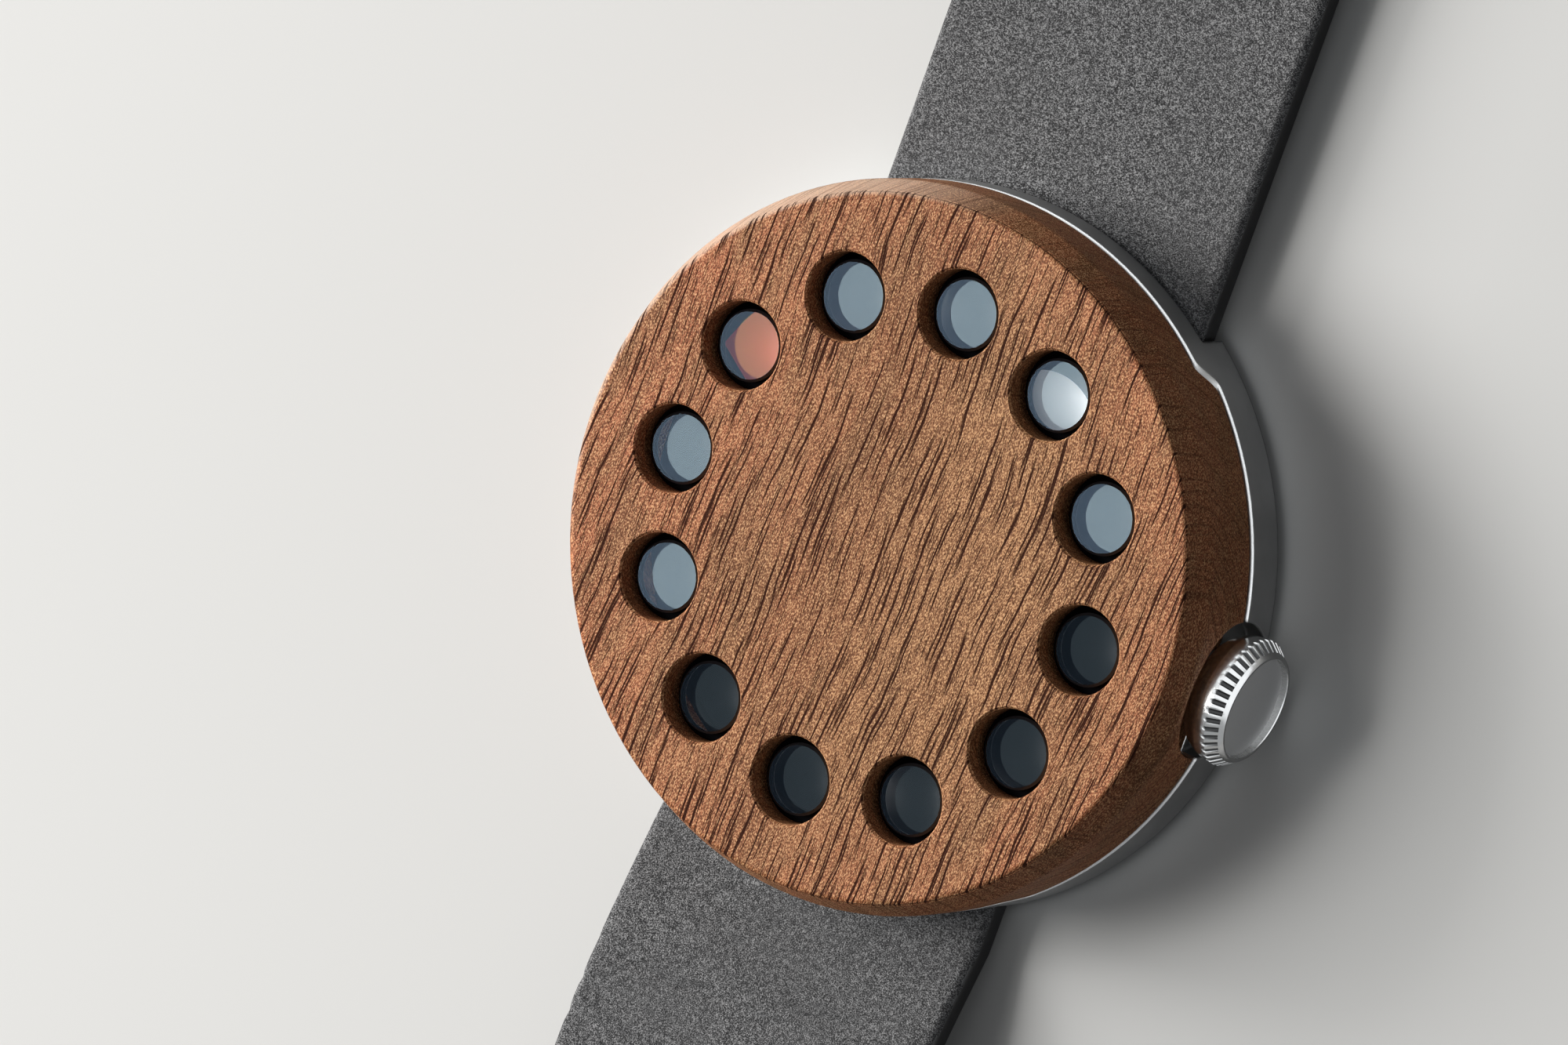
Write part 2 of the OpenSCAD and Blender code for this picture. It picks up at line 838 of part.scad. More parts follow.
module minute_wheel() {
    color(brass_c)
    translate([minute_x, minute_y, 0])
        difference() {
            union() {
                translate([0, 0, motion_z])
                    gear(minute_teeth, motion_module, minute_phase, motion_t);
                translate([0, 0, motion_z + motion_t - eps])
                    gear(minute_pinion_teeth, hour_module, minute_pinion_phase,
                         hour_wheel_z + hour_wheel_t - motion_z - motion_t + eps);
            }
            disc(post_r + run_gap, 0, far);
        }
}

module setting_wheel() {
    color(steel_c)
    translate([setting_x, 0, 0])
        difference() {
            translate([0, 0, motion_z])
                gear(setting_teeth, motion_module, setting_phase, motion_t);
            disc(post_r + run_gap, 0, far);
        }
}

module intermediate_wheel() {
    color(brass_c)
    translate([third_x, third_y, 0]) {
        disc(pivot_r, bridge_z, plate_z + 0.3);
        translate([0, 0, third_wheel_z])
            gear(third_teeth, rotor_module, third_phase, wheel_t);
        translate([0, 0, third_wheel_z + wheel_t - eps])
            gear(third_pinion_teeth, centre_module, third_pinion_phase, centre_wheel_z - third_wheel_z + 0.05);
    }
}

module rotor() {
    color("gray")
    translate([rotor_x, rotor_y, 0]) {
        disc(pivot_r, bridge_z, plate_z + 0.3);
        translate([0, 0, rotor_pinion_z])
            gear(rotor_teeth, rotor_module, rotor_phase, wheel_t + 0.2);
        disc(magnet_r, stator_z - 0.1, stator_z + stator_t + 0.1);
    }
}

module sliding_pinion() {
    color(steel_c)
    difference() {
        union() {
            translate([pinion_x, 0, crown_z])
                rotate([0, 90, 0])
                    gear(10, motion_module, 0, pinion_teeth_l);
            x_bar(0.45, pinion_x, pinion_x + pinion_l);
            x_bar(pinion_r * 0.9, pinion_x + pinion_l - 0.3, pinion_x + pinion_l);
        }
        translate([0, -square_w / 2 - 0.03, crown_z - square_w / 2 - 0.03])
            cube([far, square_w + 0.06, square_w + 0.06]);
    }
}

module stem() {
    color(steel_c)
    union() {
        x_bar(stem_pivot_r, pocket_x - 1.7, pocket_x + 0.1);
        translate([pocket_x + 0.05, -square_w / 2, crown_z - square_w / 2])
            cube([square_end - pocket_x, square_w, square_w]);
        x_bar(stem_r, square_end, groove_x);
        x_bar(groove_r, groove_x - eps, groove_x + groove_w + eps);
        x_bar(stem_r, groove_x + groove_w, stem_end);
    }
}

module crown() {
    cone_x = crown_tip - lip_l;
    wide_x = cone_x - flute_l;
    rim_r = crown_r - flute_fall;
    lip_r = (rim_r + crown_disc_r) / 2;
    slope = atan(flute_fall / flute_l);
    skirt = [for (k = [0:8])
        [crown_r - 1.2 * (1 - sin(11.25 * k)), crown_back + (wide_x - crown_back) * (1 - cos(11.25 * k))]];
    color(steel_c)
    difference() {
        translate([0, 0, crown_z])
            rotate([0, 90, 0])
                rotate_extrude($fn = fine)
                    polygon(concat(
                        [[0, crown_back]],
                        skirt,
                        [[rim_r, cone_x], [rim_r - 0.08, crown_tip - 0.1], [lip_r, crown_tip],
                         [crown_disc_r + 0.05, crown_tip], [crown_disc_r, crown_tip - 0.05],
                         [crown_disc_r, crown_tip - crown_disc_drop], [0, crown_tip - crown_disc_drop]]
                    ));
        x_bar(crown_hollow_r, 0, crown_hollow_end);
        x_bar(stem_r, 0, stem_end);
        for (k = [0:flutes - 1])
            translate([0, 0, crown_z])
                rotate([k * 360 / flutes, 0, 0])
                    translate([wide_x, crown_r, 0])
                        rotate([0, 90, -slope])
                            translate([0, 0, -1])
                                cylinder(r = flute_r, h = 1 + flute_l / cos(slope), $fn = 24);
    }
}

module crown_gasket() {
    color(rubber_c)
    difference() {
        x_bar(crown_hollow_r, crown_back + 0.1, crown_back + 0.6);
        x_bar(tube_r + 0.02, 0, far);
    }
}

module setting_lever() {
    color(steel_c)
    translate([lever_x, lever_y, 0])
        rotate(-lever_swing)
            difference() {
                union() {
                    translate([0, 0, motion_z])
                        linear_extrude(lever_t)
                            union() {
                                circle(r = 0.75, $fn = small);
                                translate([-0.45, -lever_arm])
                                    square([0.9, lever_arm]);
                            }
                    translate([0, -lever_arm, 0])
                        disc(finger_r, crown_z - stem_r, motion_z + lever_t);
                }
                disc(post_r + run_gap, 0, far);
            }
}

module spring_bar() {
    color(steel_c)
    union() {
        cross_bar(bar_r, strap_w / 2 + strap_gap / 2, bar_y, bar_z);
        cross_bar(bar_tip_r, notch_x + bar_tip_l, bar_y, bar_z);
    }
}

module spring_bar_12() {
    spring_bar();
}

module spring_bar_6() {
    mirror([0, 1, 0])
        spring_bar();
}

module strap_buckle_side() {
    ys = [for (y = [bar_y:step:rise_start]) y];
    path = concat(ys, [for (k = [0:8]) rise_start + (rise_end - rise_start) * k / 8], [buckle_y]);
    color(leather_c)
    difference() {
        union() {
            side_profile(strap_w / 2)
                polygon(concat(
                    [for (y = path) [y, short_mid(y) + strap_mid]],
                    [for (i = [len(path) - 1:-1:0]) [path[i], short_mid(path[i]) - strap_mid]]
                ));
            cross_bar(loop_r, strap_w / 2, bar_y, bar_z);
            cross_bar(buckle_bar_r + buckle_loop_wall, strap_w / 2, buckle_y, buckle_z);
        }
        cross_bar(bar_r + run_gap, strap_w, bar_y, bar_z);
        cross_bar(buckle_bar_r + run_gap, strap_w, buckle_y, buckle_z);
        translate([-slot_w / 2, slot_y, -1])
            cube([slot_w, far, far]);
    }
}

module strap_tail_side() {
    ys = concat(
        [for (y = [bar_y:1.4:bow_start]) y],
        [for (k = [0:12]) bow_start + (bow_top - bow_start) * k / 12],
        [for (k = [0:16]) bow_level + (bow_end - bow_level) * k / 16],
        [tip_y]
    );
    color(leather_c)
    mirror([0, 1, 0])
        difference() {
            intersection() {
                union() {
                    side_profile(strap_w / 2)
                        polygon(concat(
                            [for (y = ys) [y, long_mid(y) + strap_mid]],
                            [for (i = [len(ys) - 1:-1:0]) [ys[i], long_mid(ys[i]) - strap_mid]]
                        ));
                    cross_bar(loop_r, strap_w / 2, bar_y, bar_z);
                }
                linear_extrude(far)
                    union() {
                        translate([-strap_w / 2, 0])
                            square([strap_w, tip_y - tip_l]);
                        polygon([for (k = [0:16])
                            [strap_w / 2 * cos(180 * k / 16), tip_y - tip_l - eps + tip_l * sin(180 * k / 16)]]);
                    }
            }
            cross_bar(bar_r + run_gap, strap_w, bar_y, bar_z);
            for (k = [0:strap_holes - 1])
                translate([0, first_hole + k * hole_pitch, 0])
                    disc(strap_hole_r, -1, far);
        }
}

// Turns the buckle about its bar until its front lies on the ground
module tilted() {
    translate([0, buckle_y, buckle_z])
        rotate([-buckle_tilt, 0, 0])
            translate([0, -buckle_y, -buckle_z])
                children();
}

// Leather band around the strap, from y to y + keeper_w. snug is its gap to the strap.
module keeper(y, snug) {
    low = buckle_z - strap_mid - snug;
    high = buckle_z + strap_mid + keeper_room;
    inner = strap_w / 2 + snug;
    difference() {
        translate([-inner - keeper_t, y, low - keeper_t])
            cube([2 * (inner + keeper_t), keeper_w, high - low + 2 * keeper_t]);
        translate([-inner, y - 1, low])
            cube([2 * inner, keeper_w + 2, high - low]);
    }
}

module fixed_keeper() {
    color(leather_c)
        keeper(fixed_keeper_y, 0);
}

module free_keeper() {
    color(leather_c)
        keeper(free_keeper_y, keeper_slip);
}

module buckle_frame() {
    color(steel_c)
    tilted()
    difference() {
        union() {
            for (s = [0, 1])
                mirror([s, 0, 0]) {
                    translate([frame_in, buckle_y, buckle_z - buckle_t / 2])
                        cube([buckle_arm, frame_front - buckle_y, buckle_t]);
                    translate([frame_in, buckle_y, buckle_z])
                        rotate([0, 90, 0])
                            cylinder(r = buckle_t / 2, h = buckle_arm, $fn = small);
                }
            translate([-frame_in - eps, frame_front - front_w, buckle_z - buckle_t / 2])
                cube([2 * frame_in + 2 * eps, front_w, buckle_t - frame_drop]);
        }
        cross_bar(0.5, frame_in + 1.2, buckle_y, buckle_z);
    }
}

module buckle_bar() {
    color(steel_c)
    tilted()
    union() {
        cross_bar(buckle_bar_r, strap_w / 2 + slip_gap, buckle_y, buckle_z);
        cross_bar(0.5, frame_in + 1.2, buckle_y, buckle_z);
    }
}

module buckle_tongue() {
    top = buckle_z + buckle_t / 2 - frame_drop + slip_gap;
    color(steel_c)
    tilted()
    difference() {
        union() {
            cross_bar(tongue_r, tongue_w / 2, buckle_y, buckle_z);
            side_profile(tongue_w / 2)
                polygon([
                    [buckle_y, buckle_z],
                    [buckle_y, buckle_z + tongue_r],
                    [buckle_y + tongue_r, top + tongue_t],
                    [frame_front + tongue_over, top + tongue_t],
                    [frame_front + tongue_over, top],
                    [buckle_y + tongue_r + 0.6, top]
                ]);
        }
        cross_bar(buckle_bar_r + run_gap, strap_w, buckle_y, buckle_z);
    }
}

wooden_face();
lens(1);  // lens_01
lens(2);  // lens_02
lens(3);  // lens_03
lens(4);  // lens_04
lens(5);  // lens_05
lens(6);  // lens_06
lens(7);  // lens_07
lens(8);  // lens_08
lens(9);  // lens_09
lens(10);  // lens_10
lens(11);  // lens_11
lens(12);  // lens_12
steel_case();
case_gasket();
case_back();
case_back_gasket();
crown_tube();
dial_plate();
dial_washer();
movement_ring();
main_plate();
train_bridge();
bridge_screws();
stator();
coil();
circuit_board();
quartz_crystal();
battery();
battery_clamp();
centre_wheel();
cannon_pinion();
minute_hand();
hour_wheel();
hour_hand();
minute_wheel();
setting_wheel();
intermediate_wheel();
rotor();
sliding_pinion();
stem();
crown();
crown_gasket();
setting_lever();
spring_bar_12();
spring_bar_6();
strap_buckle_side();
strap_tail_side();
fixed_keeper();
free_keeper();
buckle_frame();
buckle_bar();
buckle_tongue();
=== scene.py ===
"""Looks of the wooden wristwatch: finishes for its CAD nodes, detailed leather, light and camera."""
import json
import math
import random

import bmesh
import bpy
from mathutils import Matrix, Vector, noise


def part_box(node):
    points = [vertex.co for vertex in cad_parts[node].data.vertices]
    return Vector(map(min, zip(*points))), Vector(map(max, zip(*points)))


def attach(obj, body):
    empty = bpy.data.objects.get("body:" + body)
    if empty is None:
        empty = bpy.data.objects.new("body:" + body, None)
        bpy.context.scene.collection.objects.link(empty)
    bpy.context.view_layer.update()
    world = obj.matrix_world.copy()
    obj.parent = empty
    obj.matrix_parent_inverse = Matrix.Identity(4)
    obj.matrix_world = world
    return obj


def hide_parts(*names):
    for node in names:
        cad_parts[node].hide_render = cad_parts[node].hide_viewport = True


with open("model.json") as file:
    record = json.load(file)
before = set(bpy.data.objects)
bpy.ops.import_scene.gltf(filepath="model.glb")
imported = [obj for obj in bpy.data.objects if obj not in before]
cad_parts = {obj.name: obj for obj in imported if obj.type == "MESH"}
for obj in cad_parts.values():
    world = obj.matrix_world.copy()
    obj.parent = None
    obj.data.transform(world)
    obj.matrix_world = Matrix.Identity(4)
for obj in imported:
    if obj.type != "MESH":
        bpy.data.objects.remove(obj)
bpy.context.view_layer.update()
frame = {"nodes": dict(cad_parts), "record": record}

MM = 0.001


# Shader helpers

class Nodes:
    """Adds nodes to a tree. Each method but node() and feed() returns an output."""

    def __init__(self, tree):
        self.tree = tree

    def node(self, kind, inputs=None, **settings):
        made = self.tree.nodes.new("ShaderNode" + kind)
        for key, value in settings.items():
            setattr(made, key, value)
        for key, value in (inputs or {}).items():
            self.feed(made.inputs[key], value)
        return made

    def feed(self, socket, value):
        if isinstance(value, bpy.types.NodeSocket):
            self.tree.links.new(value, socket)
        else:
            socket.default_value = value

    def join(self, x, y, z=0.0):
        return self.node("CombineXYZ", {0: x, 1: y, 2: z}).outputs[0]

    def shift(self, vector, offset):
        return self.node("VectorMath", {0: vector, 1: offset}, operation="ADD").outputs[0]

    def stretch(self, vector, scale):
        return self.node("VectorMath", {0: vector, 1: scale}, operation="MULTIPLY").outputs[0]

    def length(self, vector):
        return self.node("VectorMath", {0: vector}, operation="LENGTH").outputs["Value"]

    def dot(self, a, b):
        return self.node("VectorMath", {0: a, 1: b}, operation="DOT_PRODUCT").outputs["Value"]

    def math(self, operation, a, b=0.0):
        return self.node("Math", {0: a, 1: b}, operation=operation).outputs[0]

    def times(self, a, b):
        return self.math("MULTIPLY", a, b)

    def scaled(self, value, factor, offset):
        """A value times a factor, plus an offset."""
        return self.node("Math", {0: value, 1: factor, 2: offset}, operation="MULTIPLY_ADD").outputs[0]

    def span(self, value, low, high, to_low=0.0, to_high=1.0):
        """Maps low..high of a value to to_low..to_high, smoothly and clamped."""
        made = self.node("MapRange", {"Value": value, "From Min": low, "From Max": high,
                                      "To Min": to_low, "To Max": to_high}, interpolation_type="SMOOTHSTEP")
        return made.outputs["Result"]

    def noise(self, vector, scale, detail=2.0, roughness=0.5):
        inputs = {"Vector": vector, "Scale": scale, "Detail": detail, "Roughness": roughness}
        return self.node("TexNoise", inputs).outputs["Fac"]

    def soft_cells(self, vector, scale):
        """Distance to the nearest random point, with soft borders."""
        inputs = {"Vector": vector, "Scale": scale}
        return self.node("TexVoronoi", inputs, feature="SMOOTH_F1").outputs["Distance"]

    def flat_cells(self, vector):
        """Distance to the nearest random point of a plane, alike all over a square with soft corners."""
        inputs = {"Vector": vector, "Scale": 1.0, "Exponent": 4.0}
        made = self.node("TexVoronoi", inputs, voronoi_dimensions="2D", distance="MINKOWSKI")
        return made.outputs["Distance"]

    def mix(self, share, a, b):
        made = self.node("Mix", data_type="RGBA")
        self.feed(made.inputs[0], share)
        self.feed(made.inputs[6], a)
        self.feed(made.inputs[7], b)
        return made.outputs[2]

    def bump(self, height, depth_mm, strength=1.0, normal=None):
        made = self.node("Bump", {"Height": height, "Distance": depth_mm * MM, "Strength": strength})
        if normal is not None:
            self.feed(made.inputs["Normal"], normal)
        return made.outputs["Normal"]


class Shade(Nodes):
    """Builds one material around its Principled shader. Its textures are placed in millimetres."""

    def __init__(self, name, **settings):
        self.material = bpy.data.materials.new(name)
        self.material.use_nodes = True
        super().__init__(self.material.node_tree)
        self.shader = self.tree.nodes["Principled BSDF"]
        self.place = None
        for key, value in settings.items():
            self.set(key.replace("_", " "), value)

    def set(self, name, value):
        self.feed(self.shader.inputs[name], value)

    def point(self):
        """The place on the part in millimetres."""
        if self.place is None:
            origin = self.node("TexCoord").outputs["Object"]
            self.place = self.stretch(origin, (1 / MM, 1 / MM, 1 / MM))
        return self.place

    def axes(self):
        """X, Y and Z of the place on the part."""
        return self.node("SeparateXYZ", {0: self.point()}).outputs


def rgb(red, green, blue):
    """A colour given as it looks on screen, 0 to 255, in the renderer's linear values."""
    parts = [c / 255 for c in (red, green, blue)]
    linear = [c / 12.92 if c <= 0.04045 else ((c + 0.055) / 1.055) ** 2.4 for c in parts]
    return (*linear, 1.0)


def grey(level):
    return (level, level, level, 1.0)


def dimmed(colour, share):
    """A colour with its brightness cut to a share."""
    return tuple(c * share for c in colour[:3]) + (1.0,)


# Wood. Lengths in its textures are millimetres.

FACE_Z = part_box("wooden_face")[1].z / MM
BEVEL_DROP = 1.5
# Where the face's softened rim starts and ends
RIM_START = 19.4
FACE_R = 19.7
# How far the grain leans over, and how much of the depth shows when it is laid flat
GRAIN_TILT = 0.045
DEPTH_SHARE = 0.5
# Kinds of pores: cells per millimetre across and along, size as a share of a cell, and darkness
PORES = ((2.0, 0.045, 0.18, 1.0), (3.0, 0.08, 0.19, 1.0), (4.6, 0.2, 0.18, 0.85), (7.0, 0.6, 0.2, 0.5))
# Direction of the upper-left, lit side of the rim, which gets a pale painted highlight
HIGHLIGHT_SIDE = (-0.83, 0.55, 0.0)

DARK_BAND = rgb(138, 92, 60)
PALE_BAND = rgb(176, 126, 87)
RED_WOOD = rgb(192, 112, 78)
DARK_MOTTLE = rgb(112, 78, 52)
DARK_FIBRE = rgb(110, 70, 38)
DARK_SPECK = rgb(88, 50, 28)
PALE_SPECK = rgb(232, 184, 136)
PORE_COLOUR = rgb(40, 12, 4)
# Colour of the painted highlight on the upper-left rim
RIM_HIGHLIGHT_COLOUR = rgb(216, 190, 168)


def grain_places(s):
    """Places that follow the grain: in depth for the fibres, and laid flat for the pores."""
    x, y, z = s.axes()
    drift = s.scaled(s.noise(s.point(), 0.05, 1.0), 2.6, -1.3)
    wave = s.scaled(s.noise(s.stretch(s.point(), (0.8, 0.3, 0.8)), 1.0, 1.0), 0.35, -0.17)
    across = s.math("ADD", s.scaled(y, -GRAIN_TILT, x), s.math("ADD", drift, wave))
    return s.join(across, y, z), s.join(s.scaled(z, DEPTH_SHARE, across), y)


def open_pores(s, flat_place):
    """1 in the pores and 0 between them."""
    pores = 0.0
    for across, along, size, darkness in PORES:
        place = s.stretch(s.shift(flat_place, (across * 7, 3.0, 0.0)), (across, along, 0.0))
        dash = s.span(s.flat_cells(place), 0.5 * size, size, darkness, 0.0)
        pores = s.math("MAXIMUM", pores, dash)
    return pores


def rounded_rim(s, radius):
    """A normal that falls off over the rim of the face."""
    on_rim = s.math("MINIMUM", s.math("MAXIMUM", radius, RIM_START), FACE_R)
    past_start = s.math("SUBTRACT", on_rim, RIM_START)
    return s.bump(s.times(s.times(past_start, past_start), -1.8), 1.0)


def walnut():
    """Oiled walnut with bands, speckled fibres and long open pores along Y. It is redder on the
    left and towards the rim, and its rim on the upper left carries a pale painted highlight."""
    s = Shade("walnut", IOR=1.45, Specular_IOR_Level=0.12)
    x, y, z = s.axes()
    flat = s.join(x, y)
    radius = s.length(flat)
    grain, flat_grain = grain_places(s)
    band = s.noise(s.stretch(grain, (0.28, 0.015, 0.28)), 1.0, 3.0)
    mottle = s.noise(s.stretch(grain, (0.55, 0.13, 0.55)), 1.0, 3.0)
    fibre = s.noise(s.stretch(grain, (8.0, 0.6, 8.0)), 1.0, 2.0, 0.6)
    speck = s.noise(s.stretch(grain, (16.0, 7.5, 16.0)), 1.0, 1.0, 0.5)
    on_face = s.span(z, FACE_Z - 0.15, FACE_Z - 0.05, 0.4, 1.0)
    pores = s.times(open_pores(s, flat_grain), on_face)

    outer = s.math("MAXIMUM", s.span(x, 6.0, -18.0), s.span(radius, 11.0, 20.0, 0.0, 0.7))
    redness = s.times(outer, s.span(mottle, 0.3, 0.6, 0.35, 0.85))
    wood = s.mix(s.span(band, 0.3, 0.7), DARK_BAND, PALE_BAND)
    wood = s.mix(redness, wood, RED_WOOD)
    wood = s.mix(s.span(mottle, 0.2, 0.55, 0.5, 0.0), wood, DARK_MOTTLE)
    wood = s.mix(s.span(fibre, 0.3, 0.6, 0.5, 0.0), wood, DARK_FIBRE)
    wood = s.mix(s.span(speck, 0.36, 0.56, 0.85, 0.0), wood, DARK_SPECK)
    wood = s.mix(s.span(speck, 0.5, 0.7, 0.0, 0.75), wood, PALE_SPECK)

    # Painted highlight: the rim on the upper left, the lit side, is mixed towards a pale colour
    bevel_z = FACE_Z - BEVEL_DROP
    rim_highlight = s.times(s.span(radius, RIM_START, FACE_R, 0.0, 0.6), s.span(s.dot(flat, HIGHLIGHT_SIDE), 9.5, 17.5))
    rim_highlight = s.times(rim_highlight, s.span(z, bevel_z - 0.2, bevel_z + 0.2))
    wood = s.mix(rim_highlight, wood, RIM_HIGHLIGHT_COLOUR)
    s.set("Base Color", s.mix(s.times(pores, 0.97), wood, PORE_COLOUR))
    s.set("Roughness", s.span(pores, 0.0, 1.0, 0.5, 0.85))
    relief = s.scaled(speck, 0.5, s.times(pores, -1.0))
    s.set("Normal", s.bump(relief, 0.05, 0.6, rounded_rim(s, radius)))
    return s.material


# Metal

STEEL = (0.5, 0.5, 0.495, 1.0)
# Paler colour of the softened edges: a painted highlight on top of their real polished finish
POLISHED_EDGE_HIGHLIGHT = (0.88, 0.88, 0.87, 1.0)
POLISHED_ROUGHNESS = 0.15
METAL_EDGE_R = 0.3 * MM
COPPER = rgb(176, 92, 48)
DARK_COPPER = rgb(128, 58, 28)
# How far the wave of the wound wire turns in a millimetre, in radians
WIRE_WAVE = 62.0

# Shape of the crown, in millimetres: lip, flutes, how far these fall inwards, and the disc in its face
LIP_L = 0.25
FLUTE_L = 0.6
FLUTE_FALL = 0.45
CROWN_DISC_R = 2.95


def brushed(name, colour, roughness, rings_per_mm=30.0, turned_lines=0.0):
    """Metal brushed around the Z axis, with a faint uneven tone and softened, polished edges, which are also
    painted paler as a highlight.
    turned_lines is how strongly the rings show as darker lines."""
    s = Shade(name, Metallic=1.0)
    x, y, z = s.axes()
    lines = s.noise(s.join(s.length(s.join(x, y)), z), rings_per_mm, 2.0)
    smudge = s.noise(s.point(), 0.35, 3.0)
    base = s.mix(s.span(smudge, 0.3, 0.7), colour, dimmed(colour, 0.86))
    base = s.mix(s.span(lines, 0.35, 0.65, 0.0, turned_lines), base, dimmed(colour, 0.6))
    soft_normal = s.node("Bevel", {"Radius": METAL_EDGE_R}, samples=6).outputs["Normal"]
    turn = s.dot(soft_normal, s.node("NewGeometry").outputs["True Normal"])
    # The softened edges are polished smoother, and painted paler as a highlight
    polish_and_highlight = s.span(turn, 0.84, 0.985, 1.0, 0.0)
    s.set("Base Color", s.mix(polish_and_highlight, base, POLISHED_EDGE_HIGHLIGHT))
    rough = s.scaled(smudge, 0.05, s.scaled(lines, 0.16, roughness - 0.08))
    s.set("Roughness", s.scaled(polish_and_highlight, POLISHED_ROUGHNESS - roughness, rough))
    s.set("Normal", s.bump(lines, 0.004, 0.5, soft_normal))
    return s.material


def plain_metal(name, colour, roughness):
    """Machined metal with a fine even grain and faint stains."""
    s = Shade(name, Metallic=1.0)
    fine = s.noise(s.point(), 9.0, 2.0)
    stain = s.noise(s.point(), 0.8, 3.0)
    s.set("Base Color", s.mix(s.span(stain, 0.35, 0.7, 0.0, 0.35), colour, dimmed(colour, 0.6)))
    s.set("Roughness", s.scaled(fine, 0.2, roughness - 0.1))
    s.set("Normal", s.bump(fine, 0.004, 0.4))
    return s.material


def crown_metal(name, colour, disc_colour):
    """Polished crown with painted shade in the hollows of its flutes, and a matt, turned disc in its face."""
    s = Shade(name, Metallic=1.0)
    low, high = (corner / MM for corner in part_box("crown"))
    wide, axis = (high.z - low.z) / 2, (high.z + low.z) / 2
    cone_end = wide - FLUTE_FALL
    flute_end = high.x - LIP_L
    flute_start = flute_end - FLUTE_L
    x, y, z = s.axes()
    radius = s.length(s.join(y, s.math("SUBTRACT", z, axis)))
    lines = s.noise(s.join(radius, x), 22.0, 2.0)
    smudge = s.noise(s.point(), 1.2, 3.0)
    cone = s.node("MapRange", {"Value": x, "From Min": flute_start, "From Max": flute_end,
                               "To Min": wide, "To Max": cone_end}).outputs["Result"]
    in_front = s.span(x, flute_start - 0.3, flute_start - 0.1)
    on_flutes = s.times(in_front, s.span(x, flute_end, flute_end + 0.03, 1.0, 0.0))
    # Painted shade: the hollows of the flutes are darkened
    flute_shade = s.times(s.span(s.math("SUBTRACT", cone, radius), 0.03, 0.12), on_flutes)
    flute_shade = s.times(flute_shade, s.span(radius, cone_end - 0.16, cone_end - 0.1))
    disc = s.times(s.span(radius, CROWN_DISC_R - 0.02, CROWN_DISC_R, 1.0, 0.0), in_front)
    metal = s.mix(smudge, colour, dimmed(colour, 0.85))
    # The painted shade in the flutes is near black
    metal = s.mix(flute_shade, metal, grey(0.04))
    s.set("Base Color", s.mix(disc, metal, disc_colour))
    s.set("Roughness", s.scaled(disc, 0.45, s.scaled(lines, 0.14, 0.16)))
    s.set("Normal", s.bump(lines, 0.003, 0.4))
    return s.material


def winding():
    """Enamelled copper wire wound along Y."""
    s = Shade("copper_wire", Metallic=0.7)
    wave = s.math("SINE", s.times(s.axes()[1], WIRE_WAVE))
    tone = s.noise(s.point(), 3.0, 2.0)
    s.set("Base Color", s.mix(tone, COPPER, DARK_COPPER))
    s.set("Roughness", s.scaled(tone, 0.2, 0.2))
    s.set("Normal", s.bump(wave, 0.03, 0.8))
    return s.material


# Paint and plastic

BLACK_PAINT = (0.012, 0.013, 0.016, 1.0)
# The white field of the minute hand, in millimetres
WHITE_FIELD_AT = (5.7, 9.4)
WHITE_FIELD_R = 3.4


def fine_finish(s, roughness):
    fine = s.noise(s.point(), 12.0, 3.0)
    s.set("Roughness", s.scaled(fine, 0.15, roughness - 0.07))
    s.set("Normal", s.bump(fine, 0.006, 0.35))
    return s.material


def clouded(s, colour, dark_share):
    cloud = s.noise(s.point(), 0.9, 2.0)
    return s.mix(s.span(cloud, 0.3, 0.7), colour, dimmed(colour, dark_share))


def paint(name, colour, roughness=0.45, dark_share=0.85):
    """Matt paint or plastic with a fine texture and darker clouds."""
    s = Shade(name)
    s.set("Base Color", clouded(s, colour, dark_share))
    return fine_finish(s, roughness)


def painted_field(name, colour, centre, radius):
    """Black paint with a round field of another colour."""
    s = Shade(name)
    away = s.stretch(s.shift(s.point(), (-centre[0], -centre[1], 0.0)), (1.0, 1.0, 0.0))
    outside = s.span(s.length(away), radius - 0.03, radius)
    s.set("Base Color", s.mix(outside, clouded(s, colour, 0.94), BLACK_PAINT))
    return fine_finish(s, 0.42)


# Leather finish

# Colours of the grain: tops, painted shade in the pits, painted highlight on the tops, a darker cloud
LEATHER_CREST = rgb(96, 96, 97)
LEATHER_PIT_SHADE = rgb(26, 26, 27)
LEATHER_TOP_HIGHLIGHT = rgb(176, 176, 177)
LEATHER_CLOUD = rgb(80, 80, 81)
# The suede back's tops, and painted shade in its pits
SUEDE_CREST = rgb(112, 110, 107)
SUEDE_PIT_SHADE = rgb(60, 58, 56)


